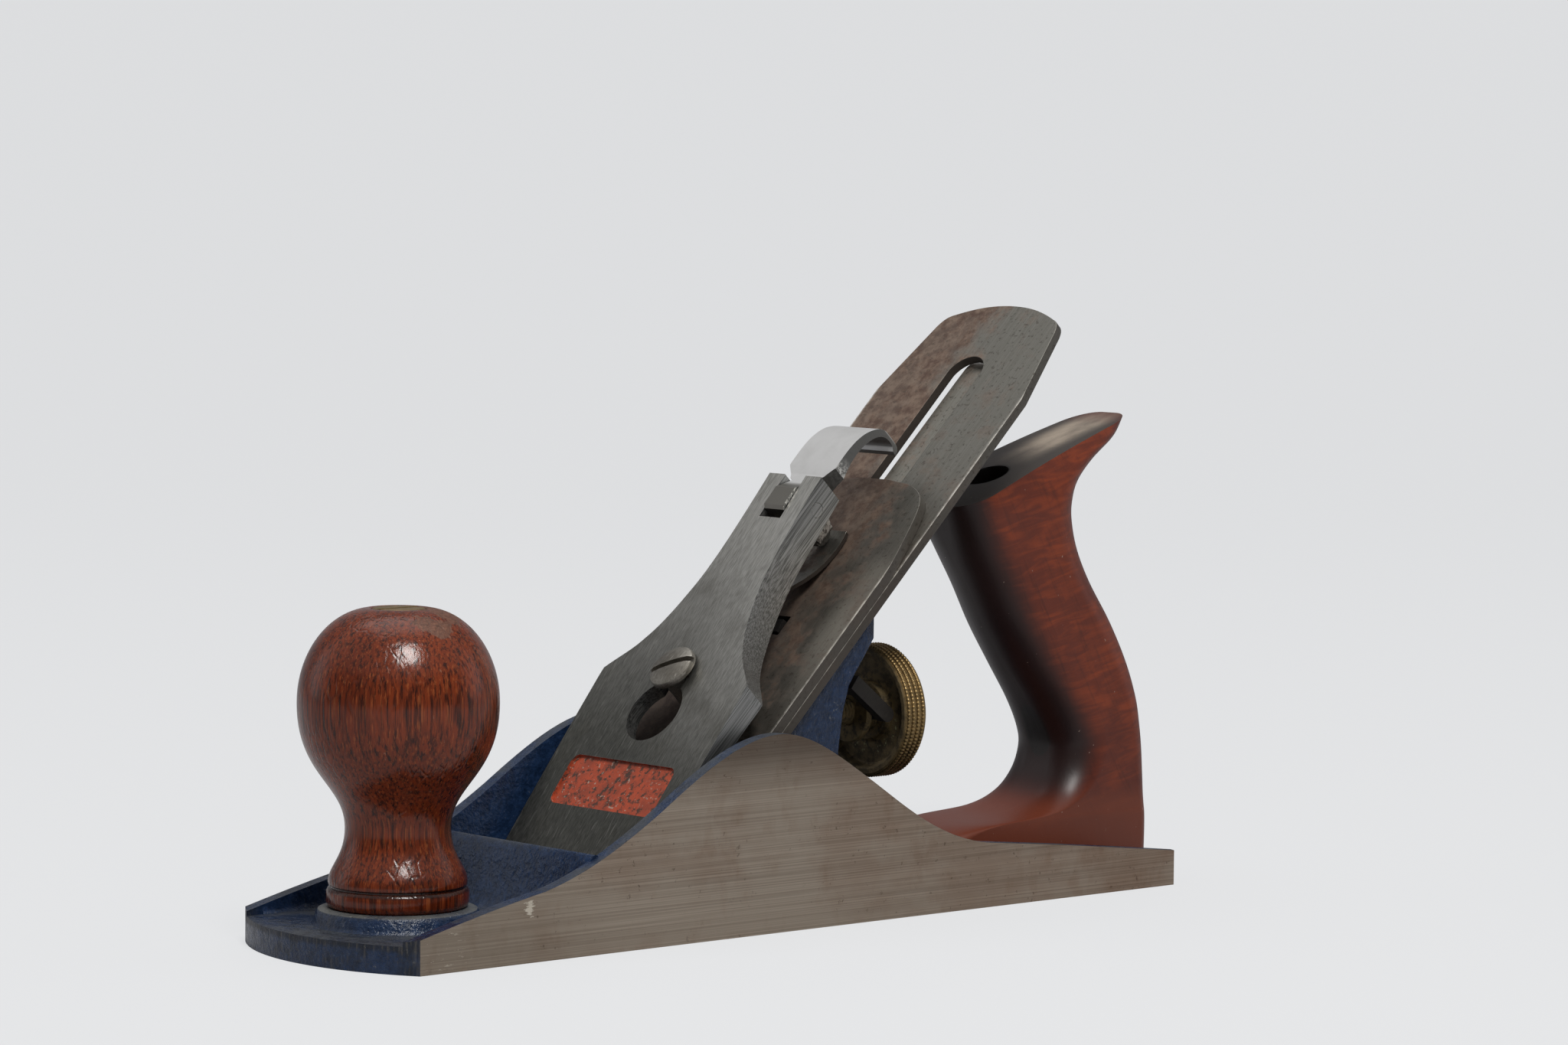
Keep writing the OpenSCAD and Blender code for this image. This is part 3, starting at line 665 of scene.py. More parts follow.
def brushed(name, dark, light, metallic=0.9, rough=0.3, size=0.22, along=70, turn=UP_THE_BED, stain=0.5,
            stain_colour=(0.10, 0.085, 0.065), blot=14.0):
    f = Finish(name)
    lines = f.noise(size, 4, 0.65, (along, 1, 1), turn)
    scratches = f.noise(size * 3.5, 2, 0.5, (along * 0.5, 1, 1), turn).within(0.62, 0.72)
    cloud = f.noise(blot, 4, 0.6)
    colour = f.mix(lines.within(0.25, 0.75), dark, light)
    colour = f.mix(cloud.within(0.45, 0.7) * stain, colour, stain_colour)
    colour = f.mix(scratches * 0.35, colour, [v * 1.35 for v in light])
    f.set(Base_Color=colour, Metallic=metallic, Roughness=(rough + lines * 0.16 + cloud * 0.1).clamped(),
          Normal=f.bump(lines, 0.012, 0.45))
    return f.material


def cap_metal():
    """The lever cap: dark along its ground face and painted paler toward the top as a painted reflection, its
    sides brushed.
    """
    f = Finish("lever_cap_metal")
    y = f.axes()[1]
    ny = f.facing()[1]
    up, _, face = f.on_bed()
    lines = f.noise(0.3, 4, 0.65, (160, 1, 1), UP_THE_BED)
    scratches = f.noise(0.8, 3, 0.6, (60, 1, 1), UP_THE_BED).within(0.6, 0.7)
    cloud = f.noise(13, 4, 0.6)
    # Painted reflection: the face is painted paler up the bed, and low down toward the near side, as the
    # crowned face would reflect the brighter room
    painted_light = (up.within(34, 116) * 0.95 + y.within(8, -22) * up.within(24, 60) * 0.34).clamped()
    dark = f.mix(painted_light, (0.048, 0.048, 0.042), (0.30, 0.295, 0.27))
    light = f.mix(painted_light, (0.120, 0.119, 0.106), (0.56, 0.55, 0.52))
    colour = f.mix(lines.within(0.25, 0.75), dark, light)
    colour = f.mix(cloud.within(0.5, 0.72) * 0.4, colour, (0.085, 0.080, 0.064))
    colour = f.mix(scratches * 0.22, colour, (0.46, 0.45, 0.42))
    side = ny.math("ABSOLUTE").within(0.5, 0.72) * face.within(0.5, 0.2)
    side_lines = f.mix(lines.within(0.35, 0.66), (0.10, 0.102, 0.10), (0.36, 0.365, 0.36))
    colour = f.mix(side * 0.9, colour, side_lines)
    # Where face and side meet, a bright line is painted along the corner: a painted highlight for the eased
    # edge
    corner = face.within(0.28, 0.5) * face.within(0.96, 0.86)
    colour = f.mix(corner * 0.85, colour, (0.78, 0.78, 0.75))
    f.set(Base_Color=colour, Roughness=(0.27 + lines * 0.16 + cloud * 0.1).clamped(),
          Normal=f.bump(lines, 0.014, 0.45))
    f.set(Metallic=0.9)
    return f.material


def cam_metal():
    """The cam: a bright plated plate with a rough hub, and painted shade on its undersides, inside its curl
    and on its foot.
    """
    f = Finish("cam_metal")
    _, ny, nz = f.facing()
    up, out, _ = f.on_bed()
    cast = f.noise(0.9, 3, 0.7)
    haze = f.noise(6, 4, 0.6)
    plate = f.mix(haze.within(0.4, 0.75) * 0.4, (0.62, 0.62, 0.615), (0.48, 0.48, 0.47))
    tongue = up.within(118.2, 115.5)
    colour = f.mix(tongue, plate, (0.23, 0.22, 0.195))
    side = ny.math("ABSOLUTE").within(0.55, 0.8)
    hub = f.mix(cast.within(0.42, 0.58), (0.14, 0.14, 0.135), (0.52, 0.52, 0.50))
    colour = f.mix(side * 0.95, colour, f.mix(up.within(124, 128), hub, (0.075, 0.075, 0.072)))
    # Painted shade: faces that look down, inside the curl, and the foot low under the cap are painted dark
    painted_underside_shade = (nz.within(-0.05, -0.4) + out.within(9.4, 9.0) * up.within(119, 118)).clamped()
    colour = f.mix(painted_underside_shade * 0.92, colour, (0.045, 0.042, 0.038))
    f.set(Base_Color=colour, Roughness=(0.3 + side * 0.15 + haze * 0.1).clamped(),
          Metallic=0.4 + tongue * 0.5, Normal=f.bump(cast, 0.10, 0.1 + side * 0.6))
    return f.material


def old_steel(name, far_side_rust=1.0, dark=1.0, low=0.5, rust_from=-4):
    """Plate steel: grey on the near side, brown with rust beyond rust_from, darker down the bed."""
    f = Finish(name)
    y = f.axes()[1]
    up, _, face = f.on_bed()
    lines = f.noise(0.4, 4, 0.6, (40, 1, 1), UP_THE_BED)
    cloud = f.noise(9, 5, 0.68)
    mottle = f.noise(3.2, 5, 0.7)
    specks = f.noise(1.1, 4, 0.68).within(0.56, 0.65)
    far = (y + (cloud - 0.5) * 30.0).within(rust_from, rust_from + 13) * far_side_rust
    grey = f.mix(lines.within(0.3, 0.7), (0.255 * dark, 0.245 * dark, 0.212 * dark),
                 (0.32 * dark, 0.31 * dark, 0.275 * dark))
    brown = f.mix(mottle.within(0.35, 0.65), (0.120 * dark, 0.072 * dark, 0.053 * dark),
                  (0.255 * dark, 0.180 * dark, 0.134 * dark))
    rust = (far * 0.9 + cloud.within(0.47, 0.66) * 0.5).clamped()
    colour = f.mix(rust, grey, brown)
    colour = f.mix(specks * 0.6, colour, (0.07, 0.055, 0.042))
    colour = f.mix(up.within(150, 100) * low, colour, (0.075, 0.055, 0.042))
    # Cut edges are dark; in the walls of slots the dark is deepened as painted shade, and a bright line along
    # the corners and long sides is a painted highlight
    wall = face.math("ABSOLUTE").within(0.6, 0.3)
    colour = f.mix(wall * (0.7 + y.math("ABSOLUTE").within(14, 9) * 0.28), colour, (0.030, 0.024, 0.020))
    painted_side_glint = y.math("ABSOLUTE").within(IRON - 0.8, IRON - 0.2) * face.within(0.1, 0.5)
    corner = face.within(0.3, 0.5) * face.within(0.95, 0.85) + painted_side_glint
    colour = f.mix((corner * (0.35 + mottle.within(0.4, 0.6) * 0.6)).clamped(), colour, (0.62, 0.59, 0.53))
    f.set(Base_Color=colour, Metallic=(0.85 - rust * 0.35 - wall * 0.3).clamped(),
          Roughness=(0.36 + rust * 0.18 + wall * 0.12).clamped(),
          Normal=f.bump(mottle, -0.03, 0.4, f.bump(lines, 0.015, 0.4)))
    return f.material


def worn_brass():
    f = Finish("worn_brass")
    _, y, z = f.axes()
    from_axis = (y * y + (z - WHEEL_Z) * (z - WHEEL_Z)).math("SQRT")
    rim = from_axis.within(14.6, 15.6)
    dirt = f.noise(2.4, 4, 0.7)
    lumps = f.noise(0.9, 3, 0.6)
    base = f.mix(rim, (0.15, 0.112, 0.058), (0.30, 0.205, 0.090))
    base = f.mix(dirt.within(0.42, 0.62) * (1 - rim * 0.6), base, (0.066, 0.050, 0.028))
    # Painted highlight: the hub and the stud are painted a paler gold, except where dirt lies
    hub = from_axis.within(9.2, 8.2)
    base = f.mix(hub * dirt.within(0.62, 0.45) * 0.8, base, (0.20, 0.145, 0.065))
    crumbs = f.noise(1.1, 3, 0.7).within(0.60, 0.66) * from_axis.within(11.5, 10) * from_axis.within(7.6, 8.6)
    base = f.mix((crumbs * z.within(48, 40)).clamped(), base, (0.34, 0.34, 0.20))
    f.set(Base_Color=base, Metallic=(0.5 + rim * 0.4).clamped(),
          Roughness=(0.62 - rim * 0.22 + dirt * 0.1).clamped(), Normal=f.bump(lumps, 0.12, 0.5))
    return f.material


def badge_paint():
    """Orange-red paint in a sunk panel, chipped down to dark iron."""
    f = Finish("badge_paint")
    chips = f.noise(1.7, 5, 0.72)
    bare = chips.within(0.50, 0.60)
    pale = f.noise(1.0, 3, 0.6).within(0.62, 0.68)
    colour = f.mix(f.noise(5, 3, 0.6).within(0.35, 0.65), (0.40, 0.058, 0.018), (0.25, 0.040, 0.015))
    colour = f.mix(bare * 0.85, colour, (0.065, 0.056, 0.046))
    colour = f.mix(pale * 0.7, colour, (0.40, 0.36, 0.29))
    f.set(Base_Color=colour, Roughness=(0.42 + bare * 0.15).clamped(), Metallic=bare * 0.6,
          Normal=f.bump(chips, -0.18, 0.6))
    return f.material


KNOB_WOOD = knob_wood()
TOTE_WOOD = tote_wood()
CAP_METAL = cap_metal()
CAM_METAL = cam_metal()
SCREW_METAL = brushed("screw_metal", (0.20, 0.19, 0.165), (0.42, 0.40, 0.36), rough=0.3, along=6, stain=0.6)
CUTTER_STEEL = old_steel("cutter_steel", 1.0, 0.86, 0.6)
CAP_IRON_STEEL = old_steel("cap_iron_steel", 1.0, 0.92, 0.45, -18)
LEVER_STEEL = old_steel("lever_steel", 0.2, 1.15, 0.3)
SPRING_STEEL = old_steel("spring_steel", 1.0, 0.62, 0.1)
BRASS = worn_brass()
BADGE = badge_paint()
DARK_IRON = brushed("dark_iron", (0.012, 0.010, 0.009), (0.026, 0.022, 0.018), 0.2, 0.55, 0.6, 3, stain=0.6,
                    stain_colour=(0.02, 0.016, 0.012))
print("metals ready")

# %% [markdown]
# ## Knob and tote
# The knob is turned, so one profile gives it: a ball, a slim neck, a flared foot with a scribed groove.
# The tote is sawn and rasped, so its section changes all the way up. A stack of rounded sections, joined
# by smooth curves, follows it, and its sloping top is cut last.


# %% Turning the knob
KNOB_RADIUS, KNOB_TOP = 22.3, 75.9


def turn_knob():
    foot = [(3.6, KNOB_FOOT), (14.9, KNOB_FOOT), (15.5, 10.4), (15.75, 11.2), (15.75, 13.5), (15.45, 14.1),
            (14.95, 14.4), (14.95, 14.7), (15.35, 15.0), (15.4, 15.5)]
    swell = (curve((15.4, 15.5), (15.2, 19), (11.7, 21), (11.7, 27.4), steps=16)
             + curve((11.7, 27.4), (11.7, 37), (KNOB_RADIUS, 39), (KNOB_RADIUS, 55), steps=26)
             + curve((KNOB_RADIUS, 55), (KNOB_RADIUS, 66), (15.5, 75.2), (6.6, KNOB_TOP), steps=26))
    top = [(6.7, KNOB_TOP), (6.15, 75.6), (6.1, 72.9), (4.6, 72.9), (4.6, 62), (3.6, 62)]
    return shaded(turned("knob_turned", foot + swell + top, at(KNOB_X, 0, 0), 144), 40)


knob = turn_knob()
knob.data.materials.append(KNOB_WOOD)
stands_for(knob, "knob")
print("knob:", len(knob.data.polygons), "faces")

# %% Shaping the tote
TOTE_ROWS = (
    (6, 55, 123.8, 13.8, 10, 3), (10, 53, 123.9, 13.8, 10, 3), (13.5, 55, 123.9, 13.8, 10, 3),
    (15.6, 64, 123.9, 13.8, 10, 3.2), (17, 82, 123.9, 13.7, 9.5, 3.4), (20, 92, 123.9, 13.6, 9, 3.8),
    (25, 97.4, 123.9, 13.5, 9.4, 4.2), (31, 99.4, 123.9, 13.4, 10, 4.8), (36, 98.2, 123.9, 13.2, 10.4, 5.6),
    (43, 94, 123.7, 12.9, 11, 7.2), (52, 87.2, 122, 12.6, 11.6, 10), (62, 80.3, 117.2, 12.6, 11.8, 11.6),
    (72, 74.5, 110.4, 12.6, 12, 12), (80, 69.6, 105.9, 12.6, 11.6, 11.6), (87, 66, 103.1, 12.8, 10.4, 10.4),
    (92, 63.8, 102.2, 13, 9.6, 9.2), (97, 62.2, 103.9, 12.6, 9.4, 8.4), (102, 62.2, 109.2, 11.6, 9, 7.6),
    (107, 64, 116.9, 10.2, 8.6, 6.8), (111, 68, 121, 8.8, 8, 6.4), (115, 72, 123.4, 8, 7.2, 6))


def between(rows, where):
    """A row between rows, on a curve that passes through all of them."""
    i = min(int(where), len(rows) - 2)
    t = where - i
    a, b, c, d = [rows[min(max(i + k, 0), len(rows) - 1)] for k in (-1, 0, 1, 2)]
    return [0.5 * (2 * q + t * (r - p) + t * t * (2 * p - 5 * q + 4 * r - s)
                   + t ** 3 * (3 * q - p - 3 * r + s)) for p, q, r, s in zip(a, b, c, d)]


def shape_tote(corner=18, steps=6):
    sides = 4 * corner
    rings = [between(TOTE_ROWS, j / steps) for j in range((len(TOTE_ROWS) - 1) * steps + 1)]
    verts = []
    for height, front, back, half, front_round, back_round in rings:
        for quarter in range(4):
            radius = back_round if quarter in (0, 3) else front_round
            middle = back - radius if quarter in (0, 3) else front + radius
            side = (half - radius) * (1 if quarter < 2 else -1)
            turns = [pi / 2 * (quarter + k / (corner - 1)) for k in range(corner)]
            verts += [(middle + radius * cos(a), side + radius * sin(a), height) for a in turns]
    faces = [list(range(sides)), list(range(len(verts) - 1, len(verts) - sides - 1, -1))]
    for low in range(0, (len(rings) - 1) * sides, sides):
        high = low + sides
        faces += [[low + k, low + (k + 1) % sides, high + (k + 1) % sides, high + k] for k in range(sides)]
    grip = face_out(new_piece("tote_shaped", verts, faces))
    top = curve((40, 80), (62, 91.5), (84, 101.5), (126, 113.6), steps=24)
    above = board("above", top + [(126, 113.6), (140, 114), (140, 130), (40, 130)], -20, 20, across="y")
    leaning = at(TOTE_FOOT_X, 0, PAD_TOP, -LEAN)
    combine(grip, [above, pin(3.6, -5, 100, leaning), pin(5.6, 85, 130, leaning)], "DIFFERENCE")
    return eased(grip, 0.9, 3, 38, 0.05)


tote = shape_tote()
tote.data.materials.append(TOTE_WOOD)
stands_for(tote, "tote")
print("tote:", len(tote.data.polygons), "faces")

# %% [markdown]
# ## Cutter and cap iron
# Both are flat plates whose outline is seen from above the bed: square below and rounded at the top. The
# cutter has a long slot that ends in a keyhole. The cap iron is bent into a hump by its edge, so it is cut
# from two outlines at once: what both allow is the part.

# %% Outlines of the irons
CUTTER_T, CAP_IRON_T, CUTTER_LENGTH, SLOT = 2.3, 2.5, 194.4, 11.0
IRON_FRONT = CUTTER_T + CAP_IRON_T
SCREW_S, CAP_SCREW_S, YOKE_S, CAM_S, CAM_N = 62.1, 79.0, 89.0, 112.3, 19.4
EDGE_S = 0.1 - CUTTER_T


def cut_cutter():
    crown = [(165, IRON)] + curve((186.6, 20.6), (189, 19.8), (190, 19), (190.7, 17), steps=8) + curve(
        (190.7, 17), (192.4, 13), (CUTTER_LENGTH, 8), (CUTTER_LENGTH, 0), steps=20)
    plate = board("cutter_plate", both_sides([(-3, IRON)] + crown + [(CUTTER_LENGTH, 0)]), 0, CUTTER_T,
                  place=ON_BED)
    bevel = board("bevel", [(-10, -1), (EDGE_S + 1.73 * (CUTTER_T + 1), -1), (EDGE_S, CUTTER_T), (EDGE_S, 9),
                            (-10, 9)], -40, 40, "y", ON_BED)
    slot = [block("slot", (50, -SLOT / 2, -1), (172, SLOT / 2, 5), ON_BED), pin(SLOT / 2, -1, 5, bed_at(172)),
            pin(9.2, -1, 5, bed_at(50))]
    return eased(combine(plate, [bevel] + slot, "DIFFERENCE"), 0.3, 2, 28)


def bend_cap_iron():
    rest = CUTTER_T + 0.02
    upper = (curve((-0.9, 2.6), (2, 5.4), (4, 6.6), (8, 6.6))
             + curve((8, 6.6), (11, 6.6), (14, IRON_FRONT), (18, IRON_FRONT)))
    lower = (curve((15, 2.6), (12, 4.6), (10, 4.6), (8, 4.6))
             + curve((8, 4.6), (4, 4.5), (1.5, 3.4), (0.2, rest)))
    side = ([(-0.9, rest)] + upper + [(18, IRON_FRONT), (135.4, IRON_FRONT), (135.4, rest), (17, rest)]
            + lower + [(0.2, rest)])
    bent = board("cap_iron_plate", side, -30, 30, "y", ON_BED)
    plan = [(-2, IRON), (104, IRON)]
    plan += curve((104, IRON), (108, IRON), (112, IRON - 0.6), (117, 23.6), steps=6)
    plan += curve((117, 23.6), (129, 21), (132.6, 20.4), (134.8, 10), steps=18)
    plan += [(135.3, 4), (135.3, 0)]
    combine(bent, [board("plan", both_sides(plan), 0, 12, place=ON_BED)], "INTERSECT")
    holes = [pin(6.8, 0, 12, bed_at(SCREW_S - 3)), pin(6.8, 0, 12, bed_at(SCREW_S + 1.5)),
             block("way", (SCREW_S - 3, -6.8, 0), (SCREW_S + 1.5, 6.8, 12), ON_BED),
             pin(3.9, 0, 12, bed_at(CAP_SCREW_S)),
             block("window", (YOKE_S - 2.8, -4.9, 0), (YOKE_S + 2.8, 4.9, 12), ON_BED)]
    return eased(combine(bent, holes, "DIFFERENCE"), 0.3, 2, 28)


# %% Cutting the irons
cutter = cut_cutter()
cutter.data.materials.append(CUTTER_STEEL)
stands_for(cutter, "cutter")
cap_iron = bend_cap_iron()
cap_iron.data.materials.append(CAP_IRON_STEEL)
stands_for(cap_iron, "cap_iron")
print("irons:", len(cutter.data.polygons), "and", len(cap_iron.data.polygons), "faces")

# %% [markdown]
# ## The lever cap
# The cap is a hollow casting with a ground face: broad and flat below, drawn in to a narrow neck above, and
# a little crowned along its length. A keyhole lets it slide over its screw's head, a notch at the top takes
# the cam, and a shallow panel below is painted orange. The panel is left bare of any mark.


# %% Shaping the lever cap
KEYHOLE_DROP, BADGE_S, BADGE_TILT = 10.6, 31.3, -7.9


def cap_face(s):
    """The height of the cap's crowned face over the bed."""
    return 9.6 + 0.155 * s - 0.00028 * s * s


def shape_lever_cap():
    under = [(118.6, 16), (108, 14.7), (98, 13.6), (88, 12.3), (76, 11.2), (54, 11.2), (40, 11), (28, 9.6),
             (19, 7.2), (15.5, 6.8)]
    face_line = [(s, cap_face(s)) for s in range(8, 119, 3)] + [(118.6, cap_face(118.6))]
    cap = board("lever_cap_cast", [(7.2, 6.8), (6.4, 8.4)] + face_line + under, -30, 30, "y", ON_BED)
    waist = (curve((61, 25.4), (64.5, 22.4), (66.5, 19.4), (70, 17.4))
             + curve((70, 17.4), (74, 14.6), (79, 12.9), (86, 11.1))
             + curve((86, 11.1), (93, 9.4), (103, 9.0), (118.6, 9.1)))
    plan = both_sides([(4, 25.2), (59, 25.5)] + waist + [(118.6, 9.1)])
    combine(cap, [board("plan", plan, 2, 32, place=ON_BED)], "INTERSECT")
    roof = [(s, cap_face(s) - 4) for s in (24, *range(29, 104, 5), 104)]
    hollow = board("hollow", [(24, 2)] + roof + [(104, 2)], -30, 30, "y", ON_BED)
    inside = both_sides([(22, 21.8), (58, 22), (67, 15.5), (74, 11.5), (84, 8.4), (92, 6.4), (104, 6)])
    combine(hollow, [board("inside", inside, 0, 30, place=ON_BED)], "INTERSECT")
    cuts = [hollow, pin(8, 0, 30, bed_at(SCREW_S - KEYHOLE_DROP)), pin(4.4, 0, 30, bed_at(SCREW_S)),
            block("way", (SCREW_S - KEYHOLE_DROP, -4.4, 0), (SCREW_S, 4.4, 30), ON_BED),
            block("notch", (106.3, -3.65, 0), (125, 3.65, 30), ON_BED),
            pin(1.8, -30, 30, bed_at(CAM_S, 0, CAM_N) @ ALONG_Y), pin(1.65, 10, 18.4, bed_at(83))]
    combine(cap, cuts, "DIFFERENCE")
    return combine(cap, [badge_cutter()], "DIFFERENCE")


def badge_cutter():
    """A slab with rounded corners, tilted to lie on the cap's face."""
    half_s, half_y, corner, depth = 6.6, 18.2, 2.2, 0.8
    corners = [(sx * (half_s - corner), sy * (half_y - corner), a) for sx, sy, a in
               ((1, 1, 0), (-1, 1, 90), (-1, -1, 180), (1, -1, 270))]
    outline = [(cs + corner * cos(radians(a + step)), cy + corner * sin(radians(a + step)))
               for cs, cy, a in corners for step in range(0, 91, 15)]
    face = bed_at(BADGE_S, 0, cap_face(BADGE_S))
    return board("badge", outline, -depth, 3, place=face @ Matrix.Rotation(radians(BADGE_TILT), 4, "Y"))


def in_badge(point):
    """True for a point on the floor or the walls of the panel."""
    s, y, n = ON_BED.inverted() @ point / MM
    return abs(s - BADGE_S) < 6.9 and abs(y) < 18.35 and n < cap_face(s) - 0.12 and n > cap_face(s) - 1.2


lever_cap = eased(shape_lever_cap(), 0.6, 2, 32, 0.2)
lever_cap.data.materials.append(CAP_METAL)
lever_cap.data.materials.append(BADGE)
for face in lever_cap.data.polygons:
    face.material_index = 1 if in_badge(face.center) else 0
stands_for(lever_cap, "lever_cap")
print("lever cap:", len(lever_cap.data.polygons), "faces")

# %% [markdown]
# ## The cam lever
# The cam turns on a pin in the notch: its foot presses the spring when the lever lies down, and a thumb
# lifts its curled tail. A side view and a plan are enough: what both allow is the tongue, the hub and the
# broad tail.


# %% Shaping the cam lever
def cam_side():
    tail = (curve((121, 21.2), (123, 21.6), (125, 21.6), (128, 21.6))
            + curve((128, 21.6), (133, 21.6), (137, 20.6), (139.8, 17.6))
            + curve((139.8, 17.6), (141.8, 15.4), (142.4, 12), (141, 10.2), steps=8))
    inner = (curve((138.8, 10.9), (140, 11.8), (140.4, 13.8), (138.8, 16), steps=8)
             + curve((138.8, 16), (136.6, 18.6), (130, 20.4), (122, 17.2)))
    return ([(108.5, 20.4), (108.5, 23.2), (109.2, 24.1), (114.5, 24.3), (118.6, 21.8)] + tail
            + [(141, 10.2), (139.9, 9.7), (138.6, 9.9)] + inner
            + [(122, 17.2), (119, 15.6), (116.8, 12), (115.6, 7.4), (114.2, 6.65), (112.4, 6.65), (111, 7.6),
               (110, 13)])


def shape_cam():
    shaped = board("cam_shaped", cam_side(), -8, 8, "y", ON_BED)
    plan = both_sides([(100, 3.35), (119, 3.35), (119.6, 4.6), (123.6, 8), (137.5, 8)]
                      + curve((137.5, 8), (140.6, 7.9), (141.8, 6.6), (142.6, 4), steps=8) + [(143, 0)])
    combine(shaped, [board("plan", plan, 0, 40, place=ON_BED)], "INTERSECT")
    bore = pin(1.85, -10, 10, bed_at(CAM_S, 0, CAM_N) @ ALONG_Y)
    trims = [block("trim", (105, min(side * 1.6, side * 5), 4), (119, max(side * 1.6, side * 5), 8.9), ON_BED)
             for side in (-1, 1)]
    return eased(combine(shaped, [bore] + trims, "DIFFERENCE"), 0.35, 2, 30, 0.2)


cam = shape_cam()
cam.data.materials.append(CAM_METAL)
stands_for(cam, "cam_lever")
print("cam lever:", len(cam.data.polygons), "faces")

# %% [markdown]
# ## The lateral lever
# A strip of steel lies in the slot behind the cutter. A disc on its lower end tilts the cutter, and its
# upper end is curled back for the finger. Its side view is a line with thickness that bends at the end.


# %% Bending the lateral lever
def bend_lateral():
    line = [(98.4, -1.6)] + curve((175.5, -1.6), (178.4, -1.6), (180.2, -3), (180.2, -8.9), steps=14)
    line.append((180.2, -8.9))
    upper, lower = [], []
    for i, (s, n) in enumerate(line):
        before, after = line[max(i - 1, 0)], line[min(i + 1, len(line) - 1)]
        away = Vector((before[1] - after[1], after[0] - before[0])).normalized()
        upper.append((s + away.x, n + away.y))
        lower.append((s - away.x, n - away.y))
    strip = board("lateral_strip", upper + lower[::-1], -7, 7, "y", ON_BED)
    plan = both_sides([(98.4, 5.2), (108, 5.4), (109, 6.3), (117, 6.3), (118.5, 5.4), (172, 4.7), (182, 4.4)])
    combine(strip, [board("plan", plan, -12, 4, place=ON_BED)], "INTERSECT")
    combine(strip, [pin(2.05, -8, 3, bed_at(113))], "DIFFERENCE")
    return eased(strip, 0.3, 2, 30, 0.2)


lateral = bend_lateral()
lateral.data.materials.append(LEVER_STEEL)
stands_for(lateral, "lateral_lever")
print("lateral lever:", len(lateral.data.polygons), "faces")

# %% [markdown]
# ## The brass wheel
# The depth wheel runs on a threaded stud behind the frog. Its rim carries four knurled beads. They repeat,
# so Geometry Nodes make them: a small circle is swept round a large one, the ring is cut into beads by a
# ripple along it, and copies are set side by side. The wheel itself is one turned profile.


# %% Geometry Nodes helpers
def tree_of(name, inputs):
    """A new node group with named number inputs and one material input, and its input and output nodes."""
    tree = bpy.data.node_groups.new(name, "GeometryNodeTree")
    tree.interface.new_socket("Geometry", in_out="INPUT", socket_type="NodeSocketGeometry")
    for key, value in inputs.items():
        kind = "NodeSocketInt" if isinstance(value, int) else "NodeSocketFloat"
        tree.interface.new_socket(key, in_out="INPUT", socket_type=kind).default_value = value
    tree.interface.new_socket("Finish", in_out="INPUT", socket_type="NodeSocketMaterial")
    tree.interface.new_socket("Geometry", in_out="OUTPUT", socket_type="NodeSocketGeometry")
    return tree, tree.nodes.new("NodeGroupInput"), tree.nodes.new("NodeGroupOutput")


def gn(tree, kind, settings=None, **inputs):
    """A geometry node with its settings and inputs, each input a value or another node's output."""
    node = tree.nodes.new(kind)
    for key, value in (settings or {}).items():
        setattr(node, key, value)
    for key, value in inputs.items():
        socket = node.inputs[int(key[1:])] if key[0] == "_" else node.inputs[key.replace("_", " ")]
        if isinstance(value, bpy.types.NodeSocket):
            tree.links.new(value, socket)
        else:
            socket.default_value = value
    return node


def gn_math(tree, operation, a, b=0.0):
    return gn(tree, "ShaderNodeMath", {"operation": operation}, _0=a, _1=b).outputs[0]


def grown(name, tree, values, material, place=UPRIGHT):
    """Runs a tree on an empty mesh and keeps the result as a plain mesh in its place."""
    piece = new_piece(name, [], [])
    step = piece.modifiers.new("grow", "NODES")
    step.node_group = tree
    ids = {item.name: item.identifier for item in tree.interface.items_tree if item.in_out == "INPUT"}
    for key, value in values.items():
        step[ids[key]] = value
    step[ids["Finish"]] = material
    applied(piece)
    piece.data.transform(place)
    return face_out(piece)


def finish_tree(tree, shape, group_in, group_out):
    """Realizes what the tree made, gives it its finish and sends it out."""
    real = gn(tree, "GeometryNodeRealizeInstances", Geometry=shape)
    paint = gn(tree, "GeometryNodeSetMaterial", Geometry=real.outputs[0], Material=group_in.outputs["Finish"])
    smooth = gn(tree, "GeometryNodeSetShadeSmooth", _0=paint.outputs[0])
    tree.links.new(smooth.outputs[0], group_out.inputs[0])


